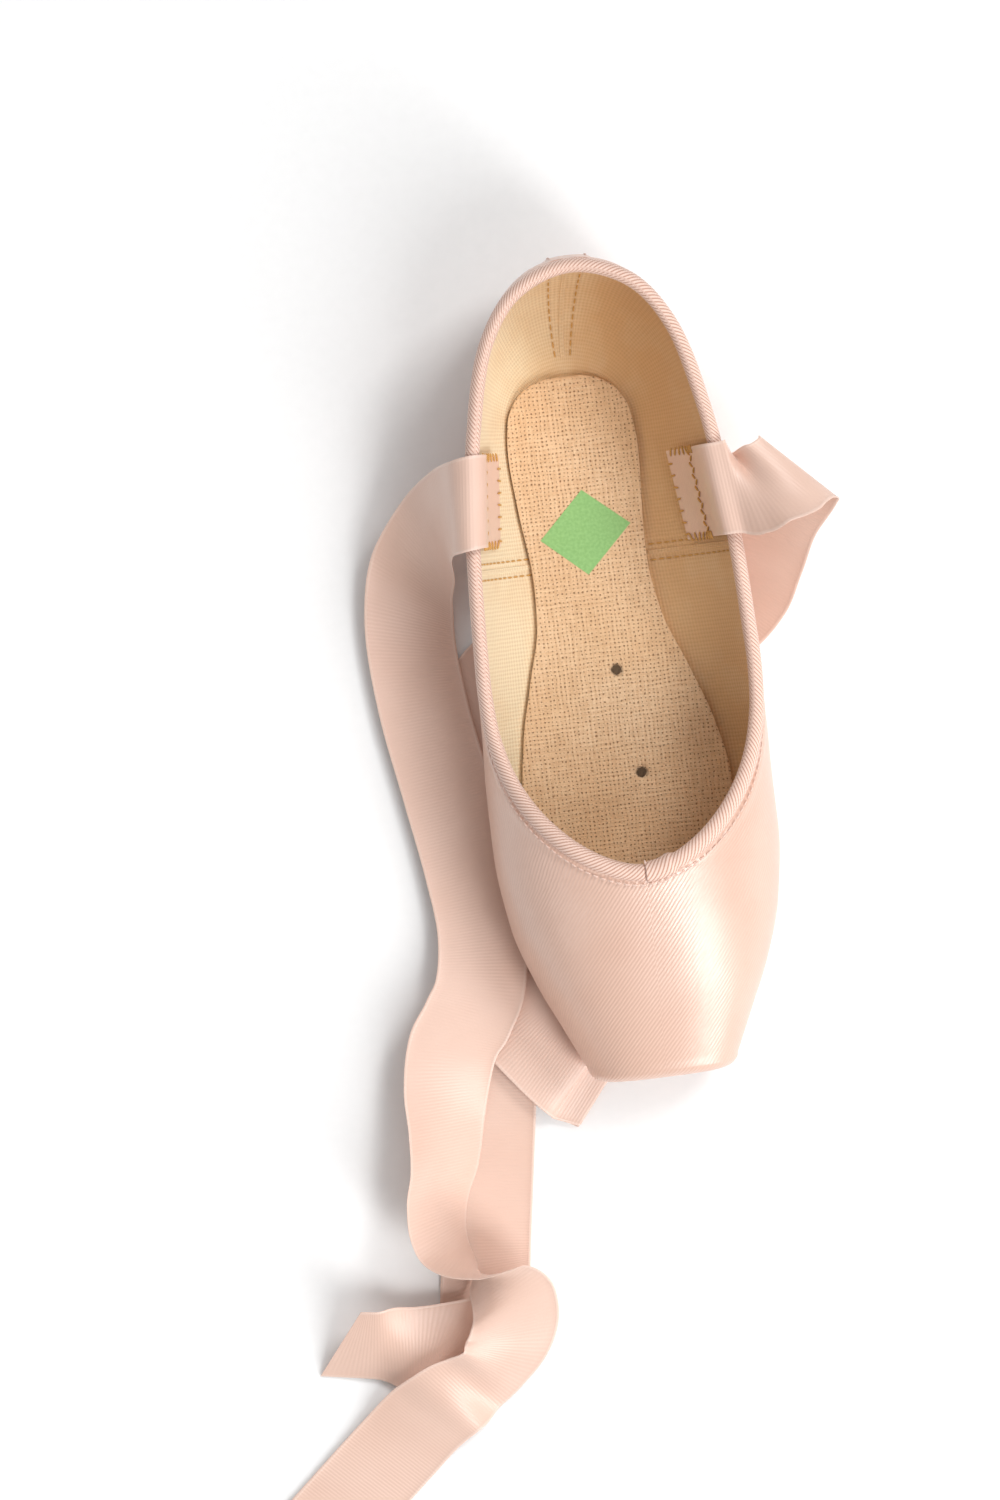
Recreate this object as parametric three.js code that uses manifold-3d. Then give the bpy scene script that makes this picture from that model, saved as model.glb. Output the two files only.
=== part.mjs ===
// A satin pointe shoe, standing on its sole, with its two ribbons lying beside it.
// Millimetres, +Z up, toe towards -Y, heel towards +Y. The origin is under the middle of the shoe.
import * as THREE from "three";
import { mergeVertices } from "three/addons/utils/BufferGeometryUtils.js";
import Module from "manifold-3d";

const wasm = await Module();
wasm.setup();

// Driving sizes
const shoeLength = 225;
const wall = 2; // satin, stiffener and lining together
const boxWall = 3; // the stiffened face of the platform
const fit = 0.3; // gap between pieces that meet
const seat = 0.5; // the same gap under the two soles, whose curved faces are divided differently
const outsoleThickness = 2.5;
const insoleThickness = 2.2;
const heelAxis = 45; // distance from the back of the heel to the middle of the heel cup
const heelRoundness = 2.35; // 2 is an ellipse, and more is squarer
const platformStart = 222.5; // where the toe box turns over into the flat platform
const platformRound = 4.7; // radius of the platform's rounded edge
const platformSlope = 28; // degrees by which the toe box already narrows there
const platformTurns = [49, 70, 90]; // degrees at which the rounded edge is divided
const ribbonWidth = 25;
const ribbonThickness = 0.6; // the plain solid: the cloth itself is thinner
const bindingWidth = 4.8; // along the wall
const bindingDepth = 4.0; // across the wall
const bindingGap = 0.5; // between the wall's cut edge and the binding
const bindingCorners = 8;
const turnedUnder = 5; // how far the upper reaches in over the outsole's edge
const aboveAll = 140; // higher than any part of the last

// The last: one row for each section across the foot, at a distance s from the back of the heel.
// half: greatest half width. flat: half width of the flat underside. bottom: its height.
// side: height of the widest line. top: height of the closed form (cut away behind the throat).
// low, up: squareness below and above the widest line. skew: how far the underside sits off centre.
const lastRows = [
  { s: 0, half: 27, flat: 15, bottom: 2.8, side: 30, top: 100, low: 1.9, up: 1.7, skew: -3.6 },
  { s: 45, half: 32.4, flat: 15.5, bottom: 2.8, side: 37, top: 100, low: 1.5, up: 2.2, skew: -3.6 },
  { s: 66, half: 35.2, flat: 15.5, bottom: 2.8, side: 38, top: 99, low: 1.45, up: 2.2, skew: -3.5 },
  { s: 84, half: 36.6, flat: 14.5, bottom: 5.6, side: 37, top: 98, low: 1.45, up: 2.2, skew: -3 },
  { s: 103, half: 37.5, flat: 15.5, bottom: 7.2, side: 34, top: 92, low: 1.55, up: 2.2, skew: -2 },
  { s: 125, half: 38.7, flat: 19, bottom: 4.6, side: 26, top: 66, low: 1.8, up: 2.2, skew: -0.8 },
  { s: 140, half: 39.3, flat: 21, bottom: 2.8, side: 19.5, top: 59, low: 2.1, up: 2.2, skew: -0.2 },
  { s: 160, half: 39.4, flat: 20, bottom: 2.8, side: 16.5, top: 54, low: 2.3, up: 2.2, skew: 0 },
  { s: 180, half: 37.1, flat: 17, bottom: 2.8, side: 16, top: 49.2, low: 2.3, up: 2.25, skew: 0 },
  { s: 196, half: 32.2, flat: 12, bottom: 3.5, side: 16, top: 43.6, low: 2.3, up: 2.35, skew: 0 },
  { s: 210, half: 26, flat: 8, bottom: 4.8, side: 16, top: 37.2, low: 2.3, up: 2.4, skew: 0 },
  { s: 222, half: 20.6, flat: 6, bottom: 6.4, side: 16, top: 31.4, low: 2.3, up: 2.4, skew: 0 },
];

// The collar: rise is the angle round the section, from the widest line (0) to the top (90 degrees).
const collarRows = [
  { s: 0, rise: 17 },
  { s: 6, rise: 16 },
  { s: 20, rise: 11.5 },
  { s: 45, rise: 6.5 },
  { s: 66, rise: 4 },
  { s: 84, rise: 3.2 },
  { s: 103, rise: 4.6 },
  { s: 116, rise: 10.5 },
  { s: 128, rise: 20.5 },
  { s: 140, rise: 34 },
  { s: 150, rise: 48 },
  { s: 159, rise: 64 },
  { s: 165, rise: 79 },
];
const throat = 167; // the collar's lowest point on the vamp, from the back of the heel

// Half outlines of the two soles.
const outsoleRows = [
  { s: 30.6, half: 4 }, { s: 31.8, half: 8 }, { s: 35, half: 11.8 }, { s: 40, half: 14 },
  { s: 47, half: 14.8 }, { s: 62, half: 14.1 }, { s: 80, half: 13.3 }, { s: 97, half: 14 },
  { s: 112, half: 17 }, { s: 130, half: 21.6 }, { s: 150, half: 24.8 }, { s: 165, half: 24.9 },
  { s: 178, half: 22.4 }, { s: 187, half: 18 }, { s: 192.5, half: 12.6 }, { s: 195.6, half: 7 },
  { s: 196.7, half: 3 },
];
const insoleRows = [
  { s: 31, half: 5 }, { s: 32.4, half: 9.6 }, { s: 36, half: 14.2 }, { s: 42, half: 17 },
  { s: 52, half: 18 }, { s: 66, half: 17.2 }, { s: 84, half: 16 }, { s: 98, half: 17.2 },
  { s: 114, half: 22 }, { s: 130, half: 26.6 }, { s: 146, half: 29 }, { s: 162, half: 28.6 },
  { s: 176, half: 25.4 }, { s: 187, half: 20.4 }, { s: 195, half: 14 }, { s: 199, half: 8 },
  { s: 200.4, half: 3.5 },
];

// The two ribbons: points along the middle of each, from its sewn end inside the collar to its cut end.
// turn: the compass direction of its width, from +X. tilt: how far that direction rises. Degrees.
const ribbonRightRows = [
  { x: 22.9, y: 45, z: 18.5, turn: 97, tilt: 0 },
  { x: 27.8, y: 45, z: 28, turn: 97, tilt: 0 },
  { x: 29.8, y: 45, z: 43.8, turn: 97, tilt: 0 },
  { x: 31.8, y: 45, z: 47.4, turn: 96, tilt: 0 },
  { x: 36, y: 45, z: 48.4, turn: 96, tilt: 0 },
  { x: 39.5, y: 44.4, z: 49.4, turn: 106, tilt: -16 },
  { x: 43.6, y: 44.2, z: 50, turn: 122, tilt: -32 },
  { x: 49.8, y: 46.2, z: 51.4, turn: 133, tilt: -8 },
  { x: 54.2, y: 48.2, z: 48, turn: 135, tilt: 0 },
  { x: 53.4, y: 44.6, z: 43.4, turn: 137, tilt: 0 },
  { x: 47.6, y: 36.6, z: 34, turn: 142, tilt: 0 },
  { x: 43.2, y: 26, z: 22, turn: 143, tilt: 0 },
  { x: 38.6, y: 16, z: 10.5, turn: 140, tilt: 0 },
  { x: 31, y: 9.6, z: 3, turn: 128, tilt: 0 },
  { x: 17, y: 7.4, z: 1, turn: 100, tilt: 0 },
  { x: -24, y: 4.5, z: 1, turn: 97, tilt: 0 },
  { x: -35, y: -3.5, z: 1, turn: 134, tilt: 0 },
  { x: -40.3, y: -20, z: 1, turn: 170, tilt: 0 },
  { x: -41.5, y: -66, z: 1.4, turn: 181, tilt: 0 },
  { x: -43, y: -81, z: 4.2, turn: 190, tilt: 0 },
  { x: -39.5, y: -92, z: 6.3, turn: 209, tilt: 0 },
  { x: -31.5, y: -103.8, z: 6.3, turn: 225, tilt: 4 },
  { x: -25.3, y: -111.3, z: 5.7, turn: 228, tilt: 3 },
  { x: -23.8, y: -112.8, z: 4.7, turn: 228, tilt: 0 },
  { x: -23.9, y: -112.7, z: 3.4, turn: 229, tilt: 0 },
  { x: -21, y: -114, z: 2.4, turn: 231, tilt: 0 },
  { x: -16.8, y: -116, z: 1.6, turn: 231, tilt: 0 },
  { x: -20.6, y: -114.2, z: 0.8, turn: 230, tilt: 0 },
  { x: -32, y: -103.6, z: 0.9, turn: 219, tilt: 0 },
  { x: -43.4, y: -93.6, z: 0.9, turn: 199, tilt: 0 },
  { x: -44.9, y: -92.7, z: 2.2, turn: 199, tilt: 0 },
  { x: -45.5, y: -94.3, z: 3.5, turn: 199, tilt: 0 },
  { x: -46.9, y: -106.4, z: 2.6, turn: 172, tilt: 0 },
  { x: -54.1, y: -151.8, z: 1.1, turn: 171, tilt: 0 },
  { x: -58.4, y: -177.6, z: 1.2, turn: 216, tilt: 0 },
  { x: -59.9, y: -181.2, z: 3.2, turn: 216, tilt: 0 },
  { x: -63.8, y: -181.6, z: 5.2, turn: 216, tilt: 0 },
  { x: -77.8, y: -181.6, z: 6.8, turn: 264, tilt: -9 },
  { x: -87.7, y: -179, z: 8.4, turn: 268, tilt: -33 },
  { x: -98.4, y: -177.2, z: 7.8, turn: 268, tilt: -34 },
];
const ribbonLeftRows = [
  { x: -25.8, y: 49.5, z: 18, turn: 84, tilt: 0 },
  { x: -29.6, y: 49.5, z: 28, turn: 84, tilt: 0 },
  { x: -30.9, y: 49.5, z: 38, turn: 84, tilt: 0 },
  { x: -29.8, y: 49.5, z: 43.8, turn: 84, tilt: 0 },
  { x: -31.9, y: 49.5, z: 47.4, turn: 84, tilt: 0 },
  { x: -35, y: 49.3, z: 48.2, turn: 84, tilt: 0 },
  { x: -38.6, y: 48.8, z: 45.6, turn: 86, tilt: 0 },
  { x: -41.4, y: 47.6, z: 35, turn: 92, tilt: 0 },
  { x: -46, y: 41.5, z: 18, turn: 114, tilt: 2 },
  { x: -52, y: 31, z: 7.5, turn: 140, tilt: 6 },
  { x: -54.5, y: 17, z: 4, turn: 164, tilt: 8 },
  { x: -53.5, y: -4, z: 3.4, turn: 182, tilt: 6 },
  { x: -50, y: -27, z: 3.5, turn: 187, tilt: 6 },
  { x: -46.5, y: -50, z: 3.8, turn: 187, tilt: 6 },
  { x: -45, y: -68, z: 5.6, turn: 181, tilt: 5 },
  { x: -47.5, y: -83, z: 9, turn: 168, tilt: 4 },
  { x: -51.9, y: -91.1, z: 10.8, turn: 156, tilt: 3 },
  { x: -57.2, y: -99.1, z: 11, turn: 164, tilt: 6 },
  { x: -60.1, y: -109.6, z: 10.6, turn: 177, tilt: 17 },
  { x: -61.5, y: -120.3, z: 10.2, turn: 180, tilt: 32 },
  { x: -63.4, y: -131.6, z: 11, turn: 180, tilt: 41 },
  { x: -66.3, y: -140.1, z: 11.6, turn: 182, tilt: 46 },
  { x: -67.3, y: -147.3, z: 12.2, turn: 188, tilt: 50 },
  { x: -66.4, y: -153, z: 13, turn: 198, tilt: 56 },
  { x: -63.4, y: -157.1, z: 14.2, turn: 208, tilt: 68 },
  { x: -57.9, y: -161.1, z: 15, turn: 212, tilt: 90 },
  { x: -54.9, y: -162.7, z: 16, turn: 30, tilt: 64 },
  { x: -52.3, y: -165.4, z: 17.6, turn: 34, tilt: 36 },
  { x: -50.1, y: -169.5, z: 18, turn: 26, tilt: 12 },
  { x: -49.7, y: -174.7, z: 16.2, turn: 12, tilt: 0 },
  { x: -50.8, y: -179.4, z: 14.2, turn: 0, tilt: -10 },
  { x: -53.4, y: -184.5, z: 12.6, turn: -20, tilt: -24 },
  { x: -57.7, y: -189.4, z: 10.6, turn: -44, tilt: -36 },
  { x: -63.4, y: -192.9, z: 8, turn: -54, tilt: -30 },
  { x: -70.3, y: -196.7, z: 8.6, turn: -50, tilt: -14 },
  { x: -77.5, y: -201.3, z: 5.2, turn: -46, tilt: -6 },
  { x: -86.1, y: -208.9, z: 2.2, turn: -45, tilt: -2 },
  { x: -102.2, y: -223, z: 1, turn: -45, tilt: 0 },
  { x: -113.7, y: -233, z: 1, turn: -45, tilt: 0 },
];
const ribbonStepsPerRow = 2;

// How finely the curved pieces are divided
const arcSteps = 9; // from the widest line to the top, and to the bottom
const heelPages = 12; // each side of the heel cup
const stationGap = 7;
const plateGap = 6;
const acrossSteps = 10;
const collarSteps = 80;

const rad = THREE.MathUtils.degToRad;
const underfoot = -Math.PI; // stands for the middle line of the underside

// A smooth curve through a table's rows that never overshoots them.
function curveOf(rows, column) {
  const slope = rows.slice(1).map((r, i) => (r[column] - rows[i][column]) / (r.s - rows[i].s));
  const tangent = rows.map((_, i) => {
    if (i === 0 || i === rows.length - 1) return slope[Math.min(i, slope.length - 1)];
    const [a, b] = [slope[i - 1], slope[i]];
    return a * b <= 0 ? 0 : (2 * a * b) / (a + b);
  });
  return (s) => {
    let i = 0;
    while (i < rows.length - 2 && s > rows[i + 1].s) i++;
    const span = rows[i + 1].s - rows[i].s;
    const t = THREE.MathUtils.clamp((s - rows[i].s) / span, 0, 1);
    const rest = 1 - t;
    return (
      rows[i][column] * (1 + 2 * t) * rest * rest +
      tangent[i] * span * t * rest * rest +
      rows[i + 1][column] * t * t * (3 - 2 * t) -
      tangent[i + 1] * span * t * t * rest
    );
  };
}

const last = Object.fromEntries(
  ["half", "flat", "bottom", "side", "top", "low", "up", "skew"].map((name) => [name, curveOf(lastRows, name)]),
);
const yOf = (s) => shoeLength / 2 - s;

// The outline seen from above, rounded off at the heel.
function outlineHalf(s) {
  const back = Math.max(0, (heelAxis - s) / heelAxis);
  return last.half(s) * (1 - back ** heelRoundness) ** (1 / heelRoundness);
}

// One page of the heel cup turns by an angle about its upright axis: where it meets the outline.
function pageReach(angle) {
  let [near, far] = [0, heelAxis];
  for (let step = 0; step < 40; step++) {
    const s = (near + far) / 2;
    const turned = Math.atan2(outlineHalf(s), heelAxis - s);
    if (turned < angle) near = s;
    else far = s;
  }
  return { s: near, reach: Math.hypot(outlineHalf(near), heelAxis - near) };
}

// A point of a section: how far out and how high, at an angle from the bottom (-90) to the top (90).
function sectionPoint(s, reach, angle, inset) {
  if (angle === underfoot) return { out: 0, z: last.bottom(s) + inset };
  const below = angle < 0;
  const size = below ? last.side(s) - last.bottom(s) - inset : last.top(s) - last.side(s) - inset;
  const power = 2 / (below ? last.low(s) : last.up(s));
  const flat = below ? last.flat(s) : 0;
  const out = flat + (reach - inset - flat) * Math.max(0, Math.cos(angle)) ** power;
  const high = Math.abs(Math.sin(angle)) ** power;
  return { out, z: last.side(s) + Math.sign(angle) * size * high };
}

// How far the section leans sideways at a height: nothing above the widest line, the skew at the bottom.
function leanAt(s, z) {
  const depth = (last.side(s) - z) / (last.side(s) - last.bottom(s));
  return last.skew(s) * THREE.MathUtils.clamp(depth, 0, 1) ** 1.5;
}

// The outer surface of the last, or the same surface moved inwards by an inset.
// place: a page angle in the heel cup, or a distance s further forward.
function lastPoint(place, angle, side, inset = 0) {
  if (place.page !== undefined) {
    const { s, reach } = pageReach(place.page);
    const { out, z } = sectionPoint(s, reach, angle, inset);
    const x = side * out * Math.sin(place.page) + leanAt(s, z);
    return new THREE.Vector3(x, yOf(heelAxis) + out * Math.cos(place.page), z);
  }
  const { out, z } = sectionPoint(place.s, last.half(place.s), angle, inset);
  return new THREE.Vector3(side * out + leanAt(place.s, z), yOf(place.s), z);
}

// The height of the underside at a point of the plan. The lean depends on the height, so it is
// found in a few passes.
function undersideZ(x, s, inset = 0) {
  let lean = last.skew(s);
  let z = 0;
  for (let pass = 0; pass < 4; pass++) {
    const across = Math.abs(x - lean);
    const page = s < heelAxis ? pageReach(Math.atan2(across, heelAxis - s)) : { s, reach: last.half(s) };
    const out = s < heelAxis ? Math.hypot(across, heelAxis - s) : across;
    const [low, flat] = [last.low(page.s), last.flat(page.s)];
    const share = THREE.MathUtils.clamp((out - flat) / (page.reach - inset - flat), 0, 1);
    const depth = last.side(page.s) - last.bottom(page.s) - inset;
    z = last.side(page.s) - depth * (1 - share ** low) ** (1 / low);
    lean = leanAt(page.s, z);
  }
  return z;
}

// A closed mesh from triangles that hold points.
function meshOf(triangles) {
  const points = triangles.flatMap((t) => t.flatMap((p) => [p.x, p.y, p.z]));
  const loose = new THREE.BufferGeometry();
  loose.setAttribute("position", new THREE.Float32BufferAttribute(points, 3));
  const merged = mergeVertices(loose, 1e-3);
  const corners = merged.index.array;
  const kept = [];
  for (let i = 0; i < corners.length; i += 3) {
    const [a, b, c] = corners.slice(i, i + 3);
    if (a !== b && b !== c && c !== a) kept.push(a, b, c);
  }
  merged.setIndex(kept);
  return merged;
}

// Triangles between two rows of points, or between a row and itself closed into a loop.
function strip(first, second, closed = false) {
  const triangles = [];
  const count = closed ? first.length : first.length - 1;
  for (let i = 0; i < count; i++) {
    const next = (i + 1) % first.length;
    triangles.push([first[i], second[next], second[i]], [first[i], first[next], second[next]]);
  }
  return triangles;
}

const fan = (loop, centre) => loop.map((p, i) => [centre, p, loop[(i + 1) % loop.length]]);

function toSolid(geometry) {
  return new wasm.Manifold(
    new wasm.Mesh({
      numProp: 3,
      vertProperties: new Float32Array(geometry.attributes.position.array),
      triVerts: new Uint32Array(geometry.index.array),
    }),
  );
}

function fromSolid(solid) {
  const { numProp, vertProperties, triVerts } = solid.getMesh();
  const points = [];
  for (let i = 0; i < vertProperties.length; i += numProp) {
    points.push(vertProperties[i], vertProperties[i + 1], vertProperties[i + 2]);
  }
  const geometry = new THREE.BufferGeometry();
  geometry.setAttribute("position", new THREE.Float32BufferAttribute(points, 3));
  geometry.setIndex([...triVerts]);
  return geometry;
}

// The angles at which a half section is divided, from the bottom to the top.
const arcAngles = Array.from({ length: 2 * arcSteps + 1 }, (_, i) => rad((90 * (i - arcSteps)) / arcSteps));
const sectionAngles = [underfoot, ...arcAngles];

// The whole last as a closed body, moved inwards by an inset, with its toe face moved by another.
function lastBody(inset, toeInset) {
  const half = (place, side) => sectionAngles.map((angle) => lastPoint(place, angle, side, inset));
  const ring = (place) => [...half(place, 1), ...half(place, -1).reverse().slice(1, -1)];
  const count = Math.round((platformStart - heelAxis) / stationGap);
  const stations = Array.from({ length: count + 1 }, (_, i) => heelAxis + ((platformStart - heelAxis) * i) / count);
  const rings = stations.map((s) => ring({ s }));
  const face = shoeLength - toeInset;
  const front = rings[rings.length - 1];
  const centre = new THREE.Vector3(0, yOf(platformStart), last.side(platformStart));
  const slope = rad(platformSlope);
  for (const turn of platformTurns) {
    const shrink = platformRound * (Math.cos(slope) - Math.cos(rad(turn)));
    const reach = ((face - platformStart) * (Math.sin(rad(turn)) - Math.sin(slope))) / (1 - Math.sin(slope));
    rings.push(front.map((p) => {
      const offset = p.clone().sub(centre);
      offset.setLength(offset.length() - shrink);
      return offset.add(centre).setY(yOf(platformStart + reach));
    }));
  }
  const triangles = rings.slice(1).flatMap((next, i) => strip(rings[i], next, true));
  triangles.push(...fan(rings[rings.length - 1], centre.clone().setY(yOf(face))));
  const pages = [1, -1].map((side) =>
    Array.from({ length: heelPages + 1 }, (_, i) => half({ page: rad((90 * i) / heelPages) }, side)),
  );
  for (let i = 0; i < heelPages; i++) {
    triangles.push(...strip(pages[0][i], pages[0][i + 1]), ...strip(pages[1][i + 1], pages[1][i]));
  }
  return meshOf(triangles);
}

// The collar line, and the direction out of the wall along it, once round from the heel.
function collarLine() {
  const at = (row, side) => {
    const place = row.s < heelAxis ? { page: pageAt(row.s) } : { s: row.s };
    const angle = rad(row.rise);
    const point = lastPoint(place, angle, side, wall / 2);
    const outward = lastPoint(place, angle, side, 0).sub(lastPoint(place, angle, side, wall)).normalize();
    return { point, outward };
  };
  const right = collarRows.map((row) => at(row, 1));
  const left = collarRows.slice(1).map((row) => at(row, -1)).reverse();
  const front = at({ s: throat, rise: 90 }, 1);
  const all = [...right, front, ...left];
  const line = new THREE.CatmullRomCurve3(all.map((p) => p.point), true, "centripetal");
  const outward = new THREE.CatmullRomCurve3(all.map((p) => p.outward), true, "centripetal");
  return Array.from({ length: collarSteps }, (_, i) => {
    const t = i / collarSteps;
    const normal = outward.getPoint(t).normalize();
    const along = line.getTangent(t);
    return { point: line.getPoint(t), normal, up: along.clone().cross(normal).normalize() };
  });
}

// The angle of the heel page that meets the outline at s.
function pageAt(s) {
  return Math.atan2(outlineHalf(s), heelAxis - s);
}

const collar = collarLine();

// Everything above the collar, as a body that cuts the wall square along the collar line.
function aboveCollar() {
  const reach = 9;
  const lower = bindingWidth / 2 + bindingGap;
  const cut = collar.map((c) => c.point.clone().addScaledVector(c.up, -lower));
  const inner = collar.map((c, i) => cut[i].clone().addScaledVector(c.normal, -reach));
  const outer = collar.map((c, i) => cut[i].clone().addScaledVector(c.normal, reach));
  const top = outer.map((p) => p.clone().setZ(aboveAll));
  const middle = new THREE.Vector3(0, yOf(95), 31); // in the open mouth of the shoe
  return meshOf([
    ...fan(inner, middle),
    ...strip(outer, inner, true),
    ...strip(top, outer, true),
    ...fan(top, middle.clone().setZ(aboveAll)).map(([a, b, c]) => [a, c, b]),
  ]);
}

// A plate that follows the shoe's underside between two heights, from a table of half widths.
function plate(rows, margin, upper, lower) {
  const half = curveOf(rows, "half");
  const stations = rows.slice(1).flatMap((row, i) => {
    const parts = Math.ceil((row.s - rows[i].s) / plateGap);
    return Array.from({ length: parts }, (_, k) => rows[i].s + ((row.s - rows[i].s) * (k + 1)) / parts);
  });
  const grid = (height) => [rows[0].s, ...stations].map((s) =>
    Array.from({ length: acrossSteps + 1 }, (_, i) => {
      const x = last.skew(s) + (half(s) - margin) * ((2 * i) / acrossSteps - 1);
      return new THREE.Vector3(x, yOf(s), height(x, s));
    }),
  );
  const [top, base] = [grid(upper), grid(lower)];
  const edge = (lines) => [
    ...lines[0], ...lines.slice(1, -1).map((line) => line[acrossSteps]),
    ...lines[lines.length - 1].slice().reverse(), ...lines.slice(1, -1).map((line) => line[0]).reverse(),
  ];
  return meshOf([
    ...top.slice(1).flatMap((next, i) => strip(next, top[i])),
    ...base.slice(1).flatMap((next, i) => strip(base[i], next)),
    ...strip(edge(top), edge(base), true),
  ]);
}

function upper() {
  const form = toSolid(lastBody(0, 0));
  const hollow = toSolid(lastBody(wall, boxWall));
  const [high, low] = [14, -5]; // heights that clear the wall underfoot
  const underFoot = toSolid(plate(outsoleRows.slice(1, -1), turnedUnder, () => high, () => low));
  return fromSolid(form.subtract(hollow).subtract(toSolid(aboveCollar())).subtract(underFoot));
}

function outsole() {
  const ground = (x, s) => last.bottom(s) - outsoleThickness - fit;
  return plate(outsoleRows, 0, (x, s) => undersideZ(x, s) - seat, ground);
}

function insole() {
  const floor = (x, s) => undersideZ(x, s, wall) + seat;
  return plate(insoleRows, 0, (x, s) => floor(x, s) + insoleThickness, floor);
}

// The rolled tape: an oval section carried along the collar line.
function binding() {
  const rings = Array.from({ length: bindingCorners }, (_, k) => {
    const turn = (2 * Math.PI * k) / bindingCorners;
    return collar.map((c) => c.point.clone()
      .addScaledVector(c.up, (bindingWidth / 2) * Math.cos(turn))
      .addScaledVector(c.normal, (bindingDepth / 2) * Math.sin(turn)));
  });
  return meshOf(rings.flatMap((ring, k) => strip(ring, rings[(k + 1) % bindingCorners], true)));
}

// A flat strip along the rows' smooth curve. Straight lines lie across it in the rows' directions, each
// long enough to keep the strip's width where it crosses at a slant, as in a fold.
function ribbon(rows) {
  const steps = ribbonStepsPerRow * (rows.length - 1);
  const curve = (points) => new THREE.CatmullRomCurve3(points, false, "centripetal");
  const middle = curve(rows.map((r) => new THREE.Vector3(r.x, r.y, r.z)));
  const directions = curve(rows.map((r) => new THREE.Vector3(
    Math.cos(rad(r.turn)) * Math.cos(rad(r.tilt)),
    Math.sin(rad(r.turn)) * Math.cos(rad(r.tilt)),
    Math.sin(rad(r.tilt)),
  )));
  const sections = Array.from({ length: steps + 1 }, (_, i) => {
    const along = middle.getTangent(i / steps);
    const across = directions.getPoint(i / steps).normalize();
    const through = along.clone().cross(across);
    across.multiplyScalar(ribbonWidth / 2 / Math.max(through.length(), 0.6));
    through.setLength(ribbonThickness / 2);
    return [[1, 1], [-1, 1], [-1, -1], [1, -1]].map(([a, b]) =>
      middle.getPoint(i / steps).addScaledVector(across, a).addScaledVector(through, b));
  });
  const [first, end] = [sections[0], sections[steps]];
  return meshOf([
    ...sections.slice(1).flatMap((next, i) => strip(sections[i], next, true)),
    [first[0], first[2], first[1]], [first[0], first[3], first[2]],
    [end[0], end[1], end[2]], [end[0], end[2], end[3]],
  ]);
}

function piece(name, geometry, color, roughness) {
  const mesh = new THREE.Mesh(geometry, new THREE.MeshStandardMaterial({ color, roughness, metalness: 0 }));
  mesh.name = name;
  return mesh;
}

const shoe = new THREE.Group();
shoe.add(
  piece("upper", upper(), 0xe8cdbe, 0.45),
  piece("outsole", outsole(), 0xdfaa88, 0.7),
  piece("insole", insole(), 0xe6c6a2, 0.9),
  piece("binding", binding(), 0xecd2c6, 0.8),
  piece("ribbon_left", ribbon(ribbonLeftRows), 0xeed4c8, 0.5),
  piece("ribbon_right", ribbon(ribbonRightRows), 0xeed4c8, 0.5),
);

export default shoe;
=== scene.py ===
# A satin pointe shoe standing on its sole, with its two ribbons lying beside it.
# The last is worked out in millimetres, and every mesh is scaled to metres as it is made.
import math
import bmesh
import bpy
import numpy as np
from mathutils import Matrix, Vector


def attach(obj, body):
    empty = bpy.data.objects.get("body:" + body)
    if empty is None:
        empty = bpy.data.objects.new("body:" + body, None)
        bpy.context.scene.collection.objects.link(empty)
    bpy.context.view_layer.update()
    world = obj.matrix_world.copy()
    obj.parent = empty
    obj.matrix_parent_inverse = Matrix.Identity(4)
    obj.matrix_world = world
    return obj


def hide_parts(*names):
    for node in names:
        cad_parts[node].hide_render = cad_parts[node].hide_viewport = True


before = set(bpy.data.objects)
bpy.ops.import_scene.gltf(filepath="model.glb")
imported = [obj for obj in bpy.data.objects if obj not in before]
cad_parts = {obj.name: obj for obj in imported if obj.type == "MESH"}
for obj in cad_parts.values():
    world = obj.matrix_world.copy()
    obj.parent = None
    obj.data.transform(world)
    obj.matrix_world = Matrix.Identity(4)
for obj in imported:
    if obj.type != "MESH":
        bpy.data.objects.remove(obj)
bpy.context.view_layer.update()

mm = 0.001


# camera

viewpoint = {
    "place": (-0.0597, 0.0298, 1.2939),
    "turn": (-2.00, -1.41, -7.14),  # degrees about x, y and z
    "lens": 111.56,  # millimetres
    "sensor": 36,
    "farthest": 20,  # metres
}


def makeCamera():
    data = bpy.data.cameras.new("studioCamera")
    data.lens = viewpoint["lens"]
    data.sensor_width = viewpoint["sensor"]
    data.clip_end = viewpoint["farthest"]
    camera = bpy.data.objects.new("studioCamera", data)
    camera.location = viewpoint["place"]
    camera.rotation_euler = [math.radians(angle) for angle in viewpoint["turn"]]
    bpy.context.collection.objects.link(camera)
    bpy.context.scene.camera = camera


makeCamera()


# colours and nodes

def linear(hexColour):
    parts = [int(hexColour[i : i + 2], 16) / 255 for i in (1, 3, 5)]
    return tuple(c / 12.92 if c <= 0.04045 else ((c + 0.055) / 1.055) ** 2.4 for c in parts) + (1.0,)


def addNode(tree, kind, settings, inputs, output=0):
    node = tree.nodes.new("ShaderNode" + kind)
    for name, value in settings.items():
        setattr(node, name, value)
    for name, value in inputs.items():
        if isinstance(value, bpy.types.NodeSocket):
            tree.links.new(value, node.inputs[name])
        else:
            node.inputs[name].default_value = value
    return node.outputs[output]


def newMaterial(name, finish):
    material = bpy.data.materials.new(name)
    material.use_nodes = True
    shader = material.node_tree.nodes["Principled BSDF"]
    for socket, value in finish.items():
        shader.inputs[socket].default_value = value
    return material, material.node_tree, shader


# the UV maps count millimetres along and across each piece
def clothPlace(tree, turn=0.0):
    uv = addNode(tree, "UVMap", {"uv_map": "cloth"}, {})
    return addNode(tree, "Mapping", {}, {"Vector": uv, "Rotation": (0, 0, math.radians(turn))})


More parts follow.
